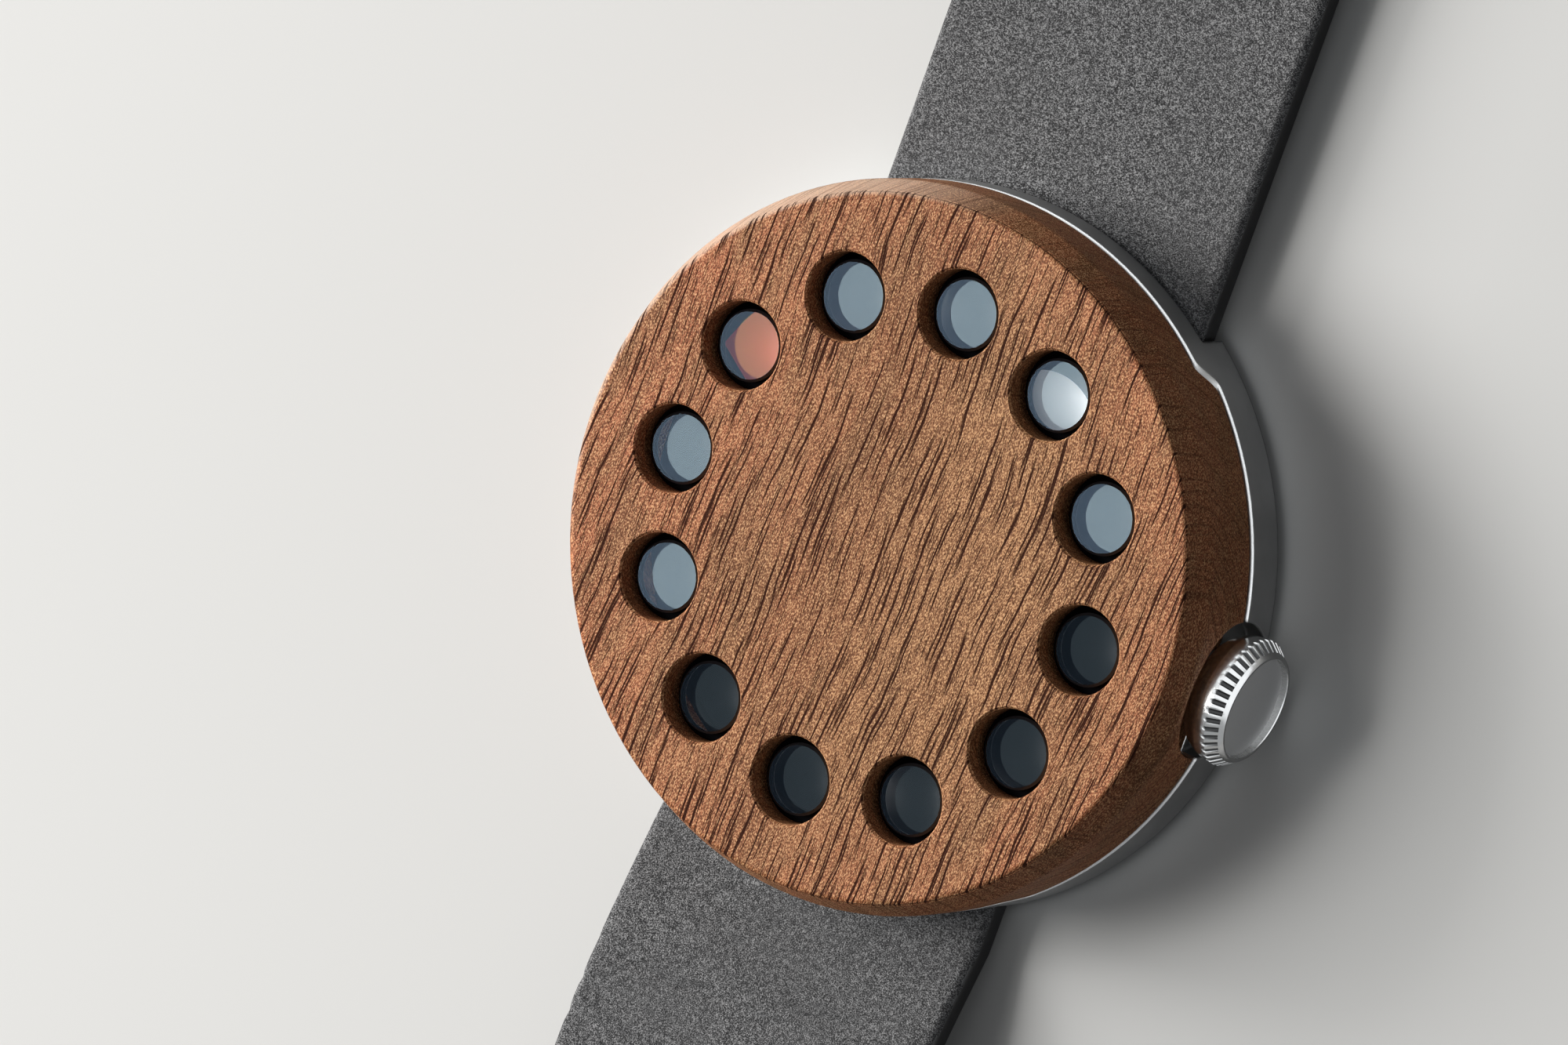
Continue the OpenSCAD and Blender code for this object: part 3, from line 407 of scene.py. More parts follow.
def leather(name, crest, pit_shade, fuzz=0.0):
    """Fine pebbled leather with painted shade in its pits and a pale painted highlight on its tops. fuzz
    turns the pebbles into suede.
    """
    s = Shade(name, IOR=1.45, Specular_IOR_Level=0.3)
    fine = s.noise(s.stretch(s.point(), (11.0, 16.0, 13.0)), 1.0, 1.0, 0.5)
    pebble = s.span(s.soft_cells(s.point(), 3.6), 0.1, 0.75, 0.05, -0.05)
    relief = s.math("ADD", fine, s.times(pebble, 1.0 - fuzz))
    cloud = s.noise(s.point(), 0.14, 3.0, 0.6)
    # Painted shade: the low parts of the grain take the dark colour of the pits
    base = s.mix(s.span(relief, 0.38, 0.54), pit_shade, crest)
    # Painted highlight: the high parts of the grain are mixed towards pale grey
    base = s.mix(s.span(relief, 0.54, 0.68, 0.0, 0.6), base, LEATHER_TOP_HIGHLIGHT)
    base = s.mix(s.span(cloud, 0.3, 0.7, 0.0, 0.3), base, LEATHER_CLOUD)
    s.set("Base Color", base)
    s.set("Roughness", s.span(relief, 0.3, 0.7, 0.85, 0.6))
    s.set("Normal", s.bump(relief, 0.1, 0.8))
    return s.material


# Glass

LENS_R = 2.05
LENS_CHAMFER = 0.2 * MM
LENS_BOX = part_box("lens_12")
CLEAR_SHARE = LENS_R * 2 * MM / (LENS_BOX[1].x - LENS_BOX[0].x)
LENS_IOR = 1.55
COATING_IOR = 1.5
CLEAR = (0.97, 0.99, 1.0, 1.0)
SOOT = (0.008, 0.008, 0.01, 1.0)
# What each kind of lens mirrors. The warm tint is a painted reflection that brightens the dim coral hand
# under its lens.
COOL_TINT = (0.71, 0.92, 1.0)
BLUE_TINT = (0.26, 0.4, 0.585)
CORAL_PAINTED_REFLECTION = (1.0, 0.5, 0.12)


def glass(name, ior, tint, clear_share=None):
    """Mineral glass. Its tint colours what it mirrors, and lamps shine through it onto the dial.
    clear_share is how much of its width is clear, the rest being blackened."""
    s = Shade(name, IOR=ior, Specular_Tint=(*tint, 1.0))
    haze = s.noise(s.point(), 2.0, 3.0)
    s.set("Roughness", s.span(haze, 0.4, 0.8, 0.0, 0.012))
    lamp_ray = s.node("LightPath").outputs["Is Shadow Ray"]
    if clear_share is None:
        s.set("Base Color", CLEAR)
        s.set("Transmission Weight", 1.0)
    else:
        from_middle = s.shift(s.node("TexCoord").outputs["Generated"], (-0.5, -0.5, 0.0))
        radius = s.length(s.stretch(from_middle, (2.0, 2.0, 0.0)))
        clear = s.span(radius, clear_share - 0.01, clear_share, 1.0, 0.0)
        s.set("Base Color", s.mix(clear, SOOT, CLEAR))
        s.set("Transmission Weight", clear)
        lamp_ray = s.times(lamp_ray, clear)
    clear_pass = s.node("BsdfTransparent", {"Color": (0.97, 0.98, 0.98, 1.0)}).outputs[0]
    joined = s.node("MixShader", {0: lamp_ray, 1: s.shader.outputs[0], 2: clear_pass}).outputs[0]
    s.feed(s.tree.nodes["Material Output"].inputs["Surface"], joined)
    return s.material


# Which material each piece gets

slot_materials = {
    "walnut": walnut(),
    "lens_glass": glass("lens_glass", LENS_IOR, COOL_TINT, CLEAR_SHARE),
    "satin_steel": brushed("satin_steel", STEEL, 0.36),
    "polished_steel": crown_metal("polished_steel", (0.66, 0.66, 0.65, 1.0), grey(0.42)),
    "movement_steel": plain_metal("movement_steel", (0.6, 0.61, 0.62, 1.0), 0.28),
    "blued_steel": plain_metal("blued_steel", (0.05, 0.09, 0.32, 1.0), 0.25),
    "stator_iron": plain_metal("stator_iron", (0.35, 0.35, 0.36, 1.0), 0.4),
    "brass": plain_metal("brass", (0.76, 0.56, 0.27, 1.0), 0.3),
    "nickel_brass": brushed("nickel_brass", (0.7, 0.62, 0.44, 1.0), 0.35, 12.0),
    "copper_wire": winding(),
    "board_green": paint("board_green", (0.03, 0.2, 0.08, 1.0), 0.4),
    "black_plastic": paint("black_plastic", grey(0.02), 0.5),
    "black_rubber": paint("black_rubber", grey(0.015), 0.7),
    "dial_black": paint("dial_black", BLACK_PAINT, 0.35),
    "white_paint": painted_field("white_paint", grey(0.95), WHITE_FIELD_AT, WHITE_FIELD_R),
    "coral_paint": paint("coral_paint", rgb(246, 84, 48), 0.4, 0.925),
    "grey_leather": leather("grey_leather", LEATHER_CREST, LEATHER_PIT_SHADE),
}
# Nodes that differ from their slot
own_materials = {
    # Painted reflection: the lens over the coral hand mirrors in warm coral, brightening the hand
    "lens_10": glass("lens_painted_coral_reflection", LENS_IOR, CORAL_PAINTED_REFLECTION, CLEAR_SHARE),
    "case_back": brushed("turned_steel", STEEL, 0.34, 4.0, 0.5),
}
lens_front = glass("lens_front", COATING_IOR, BLUE_TINT)
lens_side = paint("lens_edge", SOOT, 0.6)
lens_side.node_tree.nodes["Principled BSDF"].inputs["Specular IOR Level"].default_value = 0.0
lens_bevel = paint("lens_bevel", (0.01, 0.01, 0.012, 1.0), 0.3)
leather_back = leather("leather_back", SUEDE_CREST, SUEDE_PIT_SHADE, 0.6)
leather_edge = paint("leather_edge", (0.01, 0.01, 0.0105, 1.0), 0.4, 0.8)

# How wide the edges of some nodes are rounded
EDGE_ROUND = {"case_back": 0.12 * MM, "buckle_frame": 0.25 * MM, "crown": 0.05 * MM}
# Vertices nearer than this are one
SAME_PLACE = 0.002 * MM
ROUNDED_ANGLE = math.radians(35)
# A lens face whose normal points up more than this is its front
FRONT_NORMAL_Z = 0.95
LENS_BACK_L = 0.01 * MM


def dress_cad_nodes():
    slots = {part["node"]: part["material_slot"] for part in frame["record"]["subparts"]}
    for name, piece in frame["nodes"].items():
        piece.data.materials.clear()
        piece.data.materials.append(own_materials.get(name, slot_materials[slots[name]]))
        if slots[name] == "lens_glass":
            dress_lens(piece)
        if name in EDGE_ROUND:
            round_edges(piece, EDGE_ROUND[name])


def dress_lens(piece):
    """Coated front, black chamfer and sides, and for the rest the glass with a blackened rim."""
    low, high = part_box(piece.name)
    for material in (lens_front, lens_side, lens_bevel):
        piece.data.materials.append(material)
    for face in piece.data.polygons:
        if face.center.z > high.z - LENS_CHAMFER:
            face.material_index = 1 if face.normal.z > FRONT_NORMAL_Z else 3
        elif face.center.z > low.z + LENS_BACK_L:
            face.material_index = 2


def round_edges(piece, width):
    weld = piece.modifiers.new("weld", "WELD")
    weld.merge_threshold = SAME_PLACE
    bevel = piece.modifiers.new("round", "BEVEL")
    bevel.width = width
    bevel.segments = 3
    bevel.limit_method = "ANGLE"
    bevel.angle_limit = ROUNDED_ANGLE
    bevel.harden_normals = True


# Mesh helpers

SHARP_ANGLE = math.radians(38)


def link(piece):
    bpy.context.scene.collection.objects.link(piece)
    return piece


def mesh_piece(name, vertices, faces):
    mesh = bpy.data.meshes.new(name)
    mesh.from_pydata(vertices, [], faces)
    mesh.update()
    return link(bpy.data.objects.new(name, mesh))


def ring_faces(rings, per_ring):
    """Quads between neighbouring rings, and a cap at each end."""
    faces = []
    for row in range(rings - 1):
        for k in range(per_ring):
            after = (k + 1) % per_ring
            low, high = row * per_ring, (row + 1) * per_ring
            faces.append((low + k, low + after, high + after, high + k))
    faces.append(tuple(reversed(range(per_ring))))
    faces.append(tuple(range((rings - 1) * per_ring, rings * per_ring)))
    return faces


def face_outwards(piece):
    work = bmesh.new()
    work.from_mesh(piece.data)
    bmesh.ops.recalc_face_normals(work, faces=work.faces)
    work.to_mesh(piece.data)
    work.free()


def apply_modifiers(piece):
    """Replaces a piece's mesh by what its modifiers make of it."""
    bpy.context.view_layer.update()
    graph = bpy.context.evaluated_depsgraph_get()
    mesh = bpy.data.meshes.new_from_object(piece.evaluated_get(graph))
    piece.modifiers.clear()
    piece.data = mesh


def cut(piece, cutters):
    """Cuts closed shapes out of a piece and removes them."""
    for cutter in cutters:
        made = piece.modifiers.new("cut", "BOOLEAN")
        made.operation = "DIFFERENCE"
        made.solver = "EXACT"
        made.object = cutter
    apply_modifiers(piece)
    for cutter in cutters:
        bpy.data.objects.remove(cutter)


def turned(name, profile, place, axis="Z", segments=64):
    """A closed body turned about Z or X. profile lists (radius, height) from one end to the other."""
    vertices = []
    for radius, height in profile:
        for k in range(segments):
            angle = 2 * math.pi * k / segments
            around = (radius * math.cos(angle), radius * math.sin(angle), height)
            if axis == "X":
                around = (around[2], around[0], around[1])
            vertices.append(Vector(around) + Vector(place))
    piece = mesh_piece(name, vertices, ring_faces(len(profile), segments))
    face_outwards(piece)
    return piece


def block(name, low, high):
    corners = [(x, y, z) for z in (low[2], high[2]) for x, y in
               ((low[0], low[1]), (high[0], low[1]), (high[0], high[1]), (low[0], high[1]))]
    piece = mesh_piece(name, corners, ring_faces(2, 4))
    face_outwards(piece)
    return piece


def soften(piece):
    piece.data.shade_smooth()
    piece.data.set_sharp_from_angle(angle=SHARP_ANGLE)


# Straps

SHORT_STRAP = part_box("strap_buckle_side")
LONG_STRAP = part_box("strap_tail_side")
SPRING_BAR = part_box("spring_bar_12")
BUCKLE_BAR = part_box("buckle_bar")

STRAP_HALF = LONG_STRAP[1].x
STRAP_T = 2.0 * MM
EDGE_R = 0.55 * MM
BAR_Y = (SPRING_BAR[0].y + SPRING_BAR[1].y) / 2
BAR_Z = (SPRING_BAR[0].z + SPRING_BAR[1].z) / 2
BAR_BORE = 0.7 * MM
LOOP_R = BAR_Y - SHORT_STRAP[0].y
EXIT_Z = BAR_Z + 0.15 * MM
BUCKLE_Y = (BUCKLE_BAR[0].y + BUCKLE_BAR[1].y) / 2
BUCKLE_Z = (BUCKLE_BAR[0].z + BUCKLE_BAR[1].z) / 2
BUCKLE_BORE = 0.8 * MM
BUCKLE_LOOP_R = SHORT_STRAP[1].y - BUCKLE_Y
# Length in which a loop flattens into the strap, in radii of the loop
LOOP_FADE = 1.6
SLOT_HALF = 1.5 * MM
SLOT_L = 5.0 * MM
TIP_Y = -LONG_STRAP[0].y
TIP_L = 12.0 * MM
HOLES = 7
HOLE_PITCH = 6.5 * MM
HOLE_R = 1.0 * MM
HOLE_LIP = 0.16 * MM
LAST_HOLE_IN = 22.0 * MM
# Keeps an end row just off its tip, so that its points stay apart
TIP_GAP = 0.002 * MM

# Spacing of the rows of points along a strap, which is finer where it is folded or creased
PITCH = 0.45 * MM
FINE_PITCH = 0.2 * MM
POINTS_ACROSS = 46
CORNER_TURNS = 5
END_ROWS = 9
TIP_ROWS = 30
FOLDED_TO = 25 * MM
CREASED_FROM = 20 * MM
CREASED_TO = 38 * MM

# Centre lines, as distances from the watch's middle
RISE = (38.0 * MM, 50.0 * MM)
BOW_START = 20.2 * MM
BOW_TOP = 36.0 * MM
BOW_LEVEL = 40.0 * MM
BOW_END = 74.0 * MM
BOW_H = 2.5 * MM

# Two folds of the buckle side, along the case's arch: radius, width and depth
FOLDS = ((21.5 * MM, 0.32 * MM, 0.09 * MM), (22.6 * MM, 0.4 * MM, 0.05 * MM))
FOLDS_FROM_X = -2 * MM
FOLDS_GROW_L = 9 * MM

# Soft unevenness of the upper face: size and depth
UNEVEN = ((2.6 * MM, 0.02 * MM), (0.9 * MM, 0.012 * MM))
CREASE_SEED = 11
CREASE_WANDER = 0.8 * MM
CREASE_WANDER_L = 5 * MM

# How far up the normal of a face points: below the first it shows the leather's back, and within
# the second its painted edge
BACK_NORMAL_Z = -0.6
EDGE_NORMAL_Z = 0.45


def smooth(share):
    share = max(0.0, min(1.0, share))
    return share * share * (3 - 2 * share)


def short_middle(y):
    return EXIT_Z + (BUCKLE_Z - EXIT_Z) * smooth((y - RISE[0]) / (RISE[1] - RISE[0]))


def long_middle(y):
    if y < BOW_LEVEL:
        climb = max(0.0, min(1.0, (y - BOW_START) / (BOW_TOP - BOW_START)))
        return EXIT_Z + BOW_H * math.sin(math.pi / 2 * climb)
    crest = EXIT_Z + BOW_H
    return crest + (STRAP_T / 2 - crest) * smooth((y - BOW_LEVEL) / (BOW_END - BOW_LEVEL))


def spread(start, end, pitch):
    """Even steps from start up to end, about a pitch apart, without the end."""
    count = max(1, round((end - start) / pitch))
    return [start + (end - start) * k / count for k in range(count)]


def end_rows(centre, radius, outward):
    """Rows that follow a round end, from its tip to its middle. outward is the end's direction along Y."""
    turns = [math.pi / 2 * k / END_ROWS for k in range(END_ROWS)]
    return [centre + outward * radius * math.cos(turn) for turn in turns]


def round_section(half_width, low, high, corner, across):
    """A rounded rectangle in X and Z as a ring of points."""
    middle, half = (low + high) / 2, (high - low) / 2
    corner = min(corner, half * 0.98, half_width * 0.98)
    flat = half_width - corner
    turns = [math.pi / 2 * k / CORNER_TURNS for k in range(CORNER_TURNS + 1)]
    half_ring = [(-flat + 2 * flat * k / across, half) for k in range(across + 1)]
    for turn in turns[1:]:
        half_ring.append((flat + corner * math.sin(turn), half - corner * (1 - math.cos(turn))))
    for turn in turns[:-1]:
        half_ring.append((flat + corner * math.cos(turn), corner - half - corner * math.sin(turn)))
    ring = half_ring + [(-x, -z) for x, z in half_ring]
    return [(x, middle + z) for x, z in ring]


def strap_body(name, rows, half_width, limits, dent, side):
    """A strap as rounded sections at each row. side is +1 towards 12 o'clock and -1 towards 6."""
    vertices = []
    for y in rows:
        low, high = limits(y)
        for x, z in round_section(half_width(y), low, high, EDGE_R, POINTS_ACROSS):
            if z > (low + high) / 2:
                z -= dent(x, y)
            vertices.append((x, side * y, z))
    per_ring = len(vertices) // len(rows)
    piece = mesh_piece(name, vertices, ring_faces(len(rows), per_ring))
    face_outwards(piece)
    return piece


def loop_limits(y, centre, height, radius, outward, middle):
    """Lowest and highest Z of a strap near the round loop at its end."""
    slab = (middle(y) - STRAP_T / 2, middle(y) + STRAP_T / 2)
    along = (y - centre) * outward
    if along > 0:
        rise = math.sqrt(max(0.0, radius ** 2 - along ** 2))
        return height - rise, height + rise
    share = smooth(-along / (LOOP_FADE * radius))
    return tuple(r * (1 - share) + s * share for r, s in zip((height - radius, height + radius), slab))


def uneven_dents(x, y, seed):
    """Small soft unevenness of the upper face."""
    (broad, deep), (narrow, shallow) = UNEVEN
    coarse = noise.noise(Vector((x, y, seed)) / broad)
    fine = noise.noise(Vector((x, y, seed + 7)) / narrow)
    return deep * coarse + shallow * fine


def make_creases(count, start, end):
    """Random short creases across the strap: place, slant, width, depth and the stretch that each covers."""
    picked = random.Random(CREASE_SEED)
    creases = []
    for k in range(count):
        creases.append({
            "y": start + (end - start) * (k + picked.uniform(0.2, 0.8)) / count,
            "slant": picked.uniform(-0.10, 0.10),
            "width": picked.uniform(0.22, 0.42) * MM,
            "depth": picked.uniform(0.08, 0.16) * MM,
            "middle": picked.uniform(-0.8, 0.8) * STRAP_HALF,
            "reach": picked.uniform(0.35, 0.9) * STRAP_HALF,
            "seed": picked.uniform(0, 50),
        })
    return creases


CREASES = make_creases(16, 20.8 * MM, 37.0 * MM)


def crease_dents(x, y):
    total = 0.0
    for c in CREASES:
        wander = CREASE_WANDER * noise.noise(Vector((x / CREASE_WANDER_L, c["seed"], 0.0)))
        path = c["y"] + c["slant"] * x + wander
        fade = math.exp(-((x - c["middle"]) / c["reach"]) ** 4)
        total += c["depth"] * fade * math.exp(-((y - path) / c["width"]) ** 2)
    return total


def fold_dents(x, y):
    """Two shallow folds that follow the case's arch, deeper towards 3 o'clock."""
    radius = math.hypot(x, y)
    share = smooth((x - FOLDS_FROM_X) / FOLDS_GROW_L)
    return share * sum(depth * math.exp(-((radius - at) / width) ** 2) for at, width, depth in FOLDS)


def bar_bore(radius, y, z):
    far = 2 * STRAP_HALF
    return turned("bore", [(radius, -far), (radius, far)], (0, y, z), axis="X", segments=32)


def buckle_side_strap():
    rows = end_rows(BAR_Y, LOOP_R, -1)
    rows += spread(BAR_Y, FOLDED_TO, FINE_PITCH) + spread(FOLDED_TO, BUCKLE_Y, PITCH) + [BUCKLE_Y]
    rows += list(reversed(end_rows(BUCKLE_Y, BUCKLE_LOOP_R, 1)))
    rows[0] += TIP_GAP
    rows[-1] -= TIP_GAP
    halfway = (BAR_Y + BUCKLE_Y) / 2

    def limits(y):
        if y < halfway:
            return loop_limits(y, BAR_Y, BAR_Z, LOOP_R, -1, short_middle)
        return loop_limits(y, BUCKLE_Y, BUCKLE_Z, BUCKLE_LOOP_R, 1, short_middle)

    def dents(x, y):
        return uneven_dents(x, y, seed=3) + fold_dents(x, y)

    piece = strap_body("leather_strap_buckle_side", rows, lambda y: STRAP_HALF, limits, dents, 1)
    far = 2 * STRAP_HALF
    slot = block("slot", (-SLOT_HALF, BUCKLE_Y - SLOT_L, -far), (SLOT_HALF, BUCKLE_Y + far, far))
    cut(piece, [bar_bore(BAR_BORE, BAR_Y, BAR_Z), bar_bore(BUCKLE_BORE, BUCKLE_Y, BUCKLE_Z), slot])
    finish_leather(piece, "strap_12", "strap_buckle_side", cut_flat=True)


def tail_half_width(y):
    past = (y - (TIP_Y - TIP_L)) / TIP_L
    if past <= 0:
        return STRAP_HALF
    return STRAP_HALF * math.sqrt(max(0.0, 1 - past ** 2))


def tail_strap():
    tip_start = TIP_Y - TIP_L
    rows = end_rows(BAR_Y, LOOP_R, -1)
    rows += spread(BAR_Y, CREASED_FROM, PITCH) + spread(CREASED_FROM, CREASED_TO, FINE_PITCH)
    rows += spread(CREASED_TO, tip_start, PITCH)
    rows += [tip_start + TIP_L * math.sin(math.pi / 2 * k / TIP_ROWS) for k in range(TIP_ROWS)]
    rows.append(TIP_Y - 2 * TIP_GAP)
    rows[0] += TIP_GAP

    def limits(y):
        low, high = loop_limits(y, BAR_Y, BAR_Z, LOOP_R, -1, long_middle)
        left = TIP_Y - y
        if left < EDGE_R:
            pinch = EDGE_R - math.sqrt(max(0.0, EDGE_R ** 2 - (EDGE_R - left) ** 2))
            return low + pinch, high - pinch
        return low, high

    def dents(x, y):
        return uneven_dents(x, y, seed=9) + crease_dents(x, y)

    piece = strap_body("leather_strap_tail_side", rows, tail_half_width, limits, dents, -1)
    top = STRAP_T - HOLE_LIP
    wide = HOLE_R + 4 * HOLE_LIP
    profile = [(wide, -3 * HOLE_LIP), (HOLE_R, HOLE_LIP), (HOLE_R, top), (wide, top + 4 * HOLE_LIP)]
    first = TIP_Y - LAST_HOLE_IN - (HOLES - 1) * HOLE_PITCH
    punches = [turned("punch", profile, (0, -(first + k * HOLE_PITCH), 0)) for k in range(HOLES)]
    cut(piece, [bar_bore(BAR_BORE, -BAR_Y, BAR_Z)] + punches)
    finish_leather(piece, "strap_6", "strap_tail_side", cut_flat=True)


def finish_leather(piece, body, node, cut_flat=False):
    """Gives a piece its leather. One cut from a flat hide also shows its back and its painted edges."""
    piece.data.materials.clear()
    for material in (slot_materials["grey_leather"], leather_back, leather_edge):
        piece.data.materials.append(material)
    for face in piece.data.polygons:
        if cut_flat and face.normal.z < BACK_NORMAL_Z:
            face.material_index = 1
        elif cut_flat and abs(face.normal.z) < EDGE_NORMAL_Z:
            face.material_index = 2
    soften(piece)
    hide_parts(node)
    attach(piece, body)


# Keepers

KEEPER_T = 0.85 * MM
KEEPER_BEND = 0.75 * MM
KEEPER_EDGE_R = 0.3 * MM
KEEPER_PITCH = 0.5 * MM
KEEPER_TURNS = 6
KEEPER_POINTS_ACROSS = 12
KEEPER_DENT = 0.012 * MM
KEEPER_DENT_L = 1.8 * MM


def keeper_path(low, high):
    """Closed middle line of a keeper, as places and outward directions in X and Z."""
    right, bottom, top = high.x - KEEPER_T / 2, low.z + KEEPER_T / 2, high.z - KEEPER_T / 2
    bend_x, bend_low, bend_high = right - KEEPER_BEND, bottom + KEEPER_BEND, top - KEEPER_BEND
    corners = ((bend_x, bend_high), (-bend_x, bend_high), (-bend_x, bend_low), (bend_x, bend_low))
    path = []
    for quarter, (x, z) in enumerate(corners):
        for k in range(KEEPER_TURNS + 1):
            turn = math.pi / 2 * (quarter + k / KEEPER_TURNS)
            out = Vector((math.cos(turn), 0, math.sin(turn)))
            path.append((Vector((x, 0, z)) + KEEPER_BEND * out, out))
    dense = []
    for k, (place, out) in enumerate(path):
        after, after_out = path[(k + 1) % len(path)]
        count = max(1, round((after - place).length / KEEPER_PITCH))
        for j in range(count):
            share = j / count
            dense.append((place.lerp(after, share), out.lerp(after_out, share).normalized()))
    return dense


def keeper_band(name, node, body):
    """A leather band around the strap, with rounded corners and edges."""
    low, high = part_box(node)
    path = keeper_path(low, high)
    section = round_section((high.y - low.y) / 2, -KEEPER_T / 2, KEEPER_T / 2, KEEPER_EDGE_R,
                            KEEPER_POINTS_ACROSS)
    middle_y = (low.y + high.y) / 2
    vertices = []
    for place, out in path:
        for across, height in section:
            dent = KEEPER_DENT * abs(noise.noise(Vector((place.x, across, place.z)) / KEEPER_DENT_L))
            vertices.append(place + out * (height - dent) + Vector((0, middle_y + across, 0)))
    rows, per_ring = len(path), len(section)
    faces = []
    for row in range(rows):
        start, after_start = row * per_ring, (row + 1) % rows * per_ring
        for k in range(per_ring):
            after = (k + 1) % per_ring
            faces.append((start + k, start + after, after_start + after, after_start + k))
    piece = mesh_piece(name, vertices, faces)
    face_outwards(piece)
    finish_leather(piece, body, node)


# Stage, light and camera

VIEW = Vector((0.460, 0.224, 0.859)).normalized()
VIEW_UP = Vector((-0.397, 0.917, -0.026)).normalized()
CAMERA_DISTANCE = 0.6
FOCAL_MM = 250.0
SENSOR_MM = 36.0
AIM_RIGHT = -4.93 * MM
AIM_UP = 1.43 * MM

# The key lamp, which the lenses mirror. Its edge starts this far towards 11 o'clock from the
# mirrored line of sight.
KEY_EDGE_AT = -6.4 * MM
KEY_DISTANCE = 0.5
KEY_W = 0.14
KEY_L = 0.2
KEY_RADIANCE = 4.0
KEY_COLOUR = (1.0, 0.985, 0.96)
ELEVEN_OCLOCK = Vector((-0.5, 0.866, 0.0))

# The large lamps, all at one distance: direction, width, length, radiance and colour
LAMP_DISTANCE = 1.1
LARGE_LAMPS = {
    "top": ((-0.72, -0.12, 0.68), 0.48, 0.48, 12.4, (1.0, 0.99, 0.97)),
    "left": ((-0.9, 0.05, 0.35), 0.4, 0.6, 19.0, (1.0, 0.98, 0.96)),
}

# Brightness of the world: as light on the object, and as it is seen, plain and in its bright zone
WORLD_LIGHT = 0.14
WORLD_SEEN = 0.5
WORLD_BRIGHT = 1.6
WORLD_COLOUR = (0.94, 0.97, 1.0, 1.0)
BRIGHT_ZONE = Vector((0.5, 0.7, 0.5)).normalized()
# Cosines of the angles from the middle of the bright zone where it starts, and where it is full
ZONE_START = 0.15
ZONE_FULL = 0.5

FLOOR_HALF = 2.0
FLOOR_SEEN = ((0.6, 0.6, 0.59, 1.0), (0.64, 0.64, 0.63, 1.0))
FLOOR_IN_GLOSS = grey(0.45)
FLOOR_AS_LIGHT = grey(0.1)


def look_frame(back, up):
    """A rotation whose local Z points along back and local Y along up."""
    right = up.cross(back).normalized()
    up = back.cross(right).normalized()
    return Matrix((right, up, back)).transposed()


def make_camera():
    data = bpy.data.cameras.new("camera")
    data.lens = FOCAL_MM
    data.sensor_width = SENSOR_MM
    data.clip_start = 0.01
    data.clip_end = 20.0
    camera = link(bpy.data.objects.new("camera", data))
    turn = look_frame(VIEW, VIEW_UP)
    face_centre = Vector((0, 0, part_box("wooden_face")[1].z))
    aim = face_centre + turn @ Vector((AIM_RIGHT, AIM_UP, 0))
    camera.matrix_world = Matrix.Translation(aim + CAMERA_DISTANCE * VIEW) @ turn.to_4x4()
    bpy.context.scene.camera = camera


def softbox(name, place, back, width, length, radiance, colour, up=Vector((0, 1, 0))):
    """A rectangular lamp. It shines away from back, and radiance is how bright its face looks."""
    data = bpy.data.lights.new(name, "AREA")
    data.shape = "RECTANGLE"
    data.size = width
    data.size_y = length
    data.energy = radiance * math.pi * width * length
    data.color = colour
    lamp = link(bpy.data.objects.new(name, data))
    lamp.matrix_world = Matrix.Translation(place) @ look_frame(back, up).to_4x4()


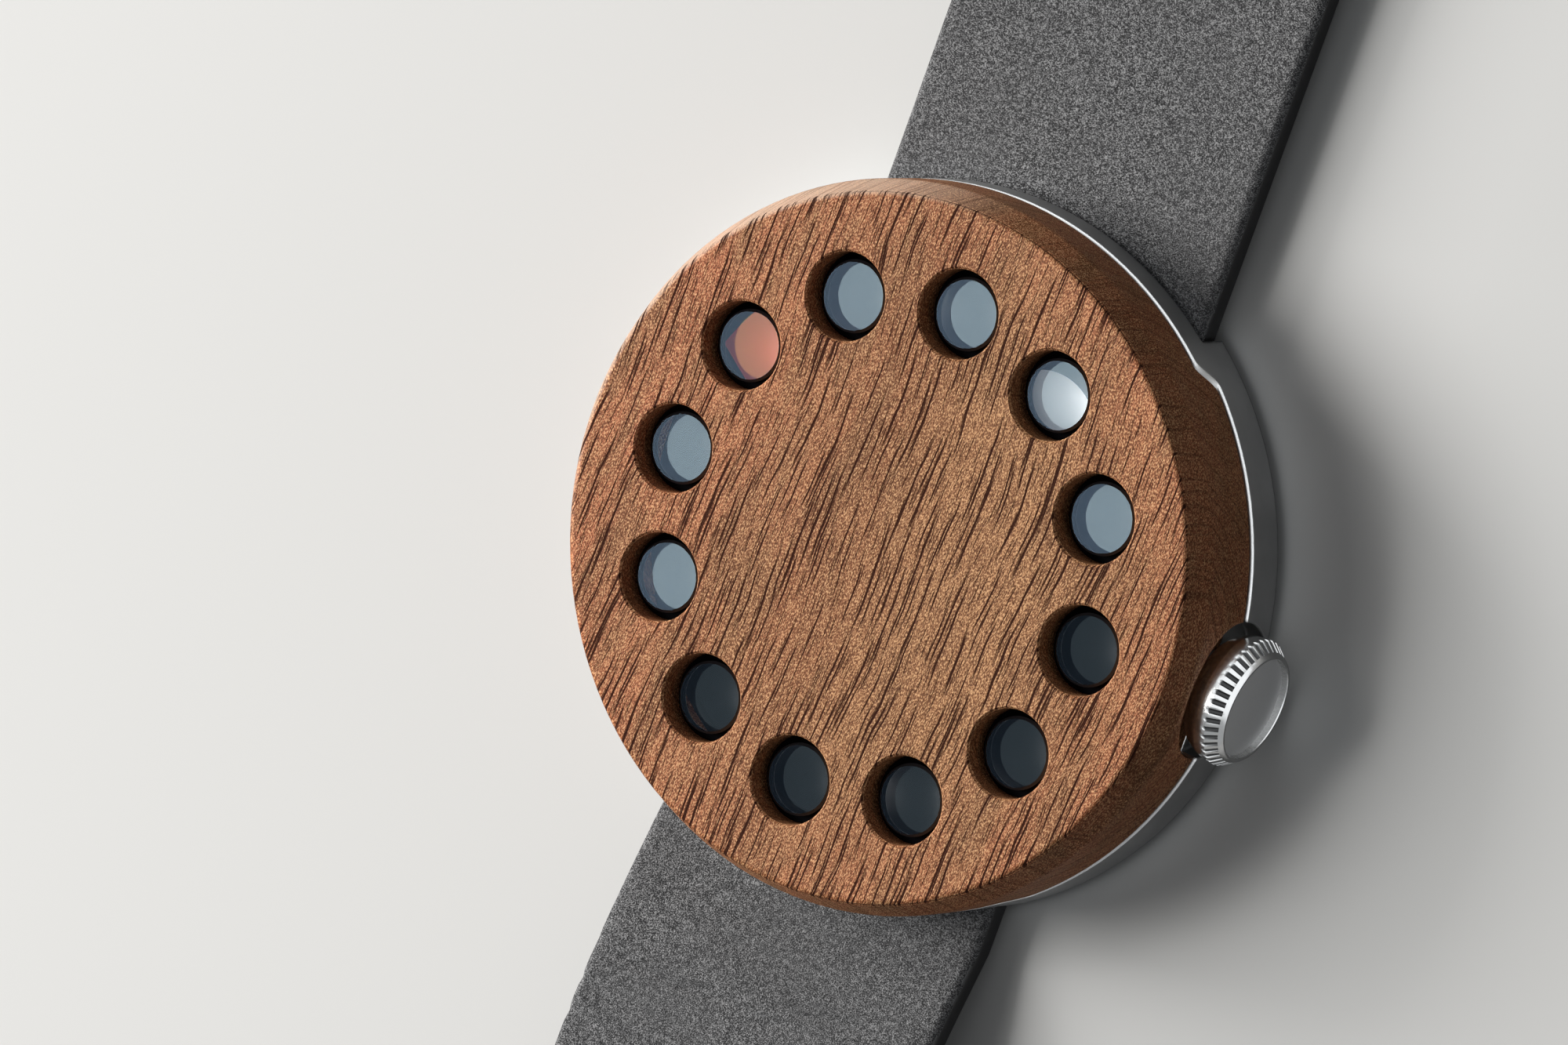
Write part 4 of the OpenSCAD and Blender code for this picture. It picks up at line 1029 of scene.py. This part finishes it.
def light_scene():
    face = Vector((0, 0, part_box("wooden_face")[1].z))
    mirrored = Vector((-VIEW.x, -VIEW.y, VIEW.z))
    along = (ELEVEN_OCLOCK - ELEVEN_OCLOCK.dot(mirrored) * mirrored).normalized()
    key_place = face + KEY_DISTANCE * mirrored + (KEY_EDGE_AT + KEY_L / 2) * along
    softbox("key", key_place, mirrored.normalized(), KEY_W, KEY_L, KEY_RADIANCE, KEY_COLOUR, along)
    for name, (direction, width, length, radiance, colour) in LARGE_LAMPS.items():
        back = Vector(direction).normalized()
        softbox(name, face + LAMP_DISTANCE * back, back, width, length, radiance, colour)


def make_world():
    """A dim even world. The camera, gloss and glass see it brighter, with a bright zone towards 1 o'clock."""
    world = bpy.data.worlds.new("world")
    bpy.context.scene.world = world
    world.use_nodes = True
    s = Nodes(world.node_tree)
    rays = s.node("LightPath").outputs
    seen = s.math("MAXIMUM", rays["Is Camera Ray"], rays["Is Glossy Ray"])
    seen = s.math("MAXIMUM", seen, rays["Is Transmission Ray"])
    in_zone = s.dot(s.node("TexCoord").outputs["Generated"], BRIGHT_ZONE)
    seen_level = s.span(in_zone, ZONE_START, ZONE_FULL, WORLD_SEEN, WORLD_BRIGHT)
    level = s.node("MapRange", {"Value": seen, "To Min": WORLD_LIGHT, "To Max": seen_level}).outputs["Result"]
    background = s.tree.nodes["Background"]
    s.feed(background.inputs["Color"], WORLD_COLOUR)
    s.feed(background.inputs["Strength"], level)


def make_floor():
    """A pale floor for the camera and glass, duller in gloss, and dark where it lights the object."""
    s = Shade("floor", Roughness=0.9)
    tone = s.noise(s.point(), 0.004, 2.0)
    pale = s.mix(tone, *FLOOR_SEEN)
    rays = s.node("LightPath").outputs
    unseen = s.mix(rays["Is Glossy Ray"], FLOOR_AS_LIGHT, FLOOR_IN_GLOSS)
    seen = s.math("MAXIMUM", rays["Is Camera Ray"], rays["Is Transmission Ray"])
    s.set("Base Color", s.mix(seen, unseen, pale))
    far = FLOOR_HALF
    corners = [(-far, -far, 0), (far, -far, 0), (far, far, 0), (-far, far, 0)]
    floor = mesh_piece("floor", corners, [(0, 1, 2, 3)])
    floor.data.materials.append(s.material)


dress_cad_nodes()
buckle_side_strap()
tail_strap()
keeper_band("leather_fixed_keeper", "fixed_keeper", "strap_12")
keeper_band("leather_free_keeper", "free_keeper", "loose_keeper")
make_floor()
make_world()
light_scene()
make_camera()
bpy.context.scene.view_settings.view_transform = "Standard"
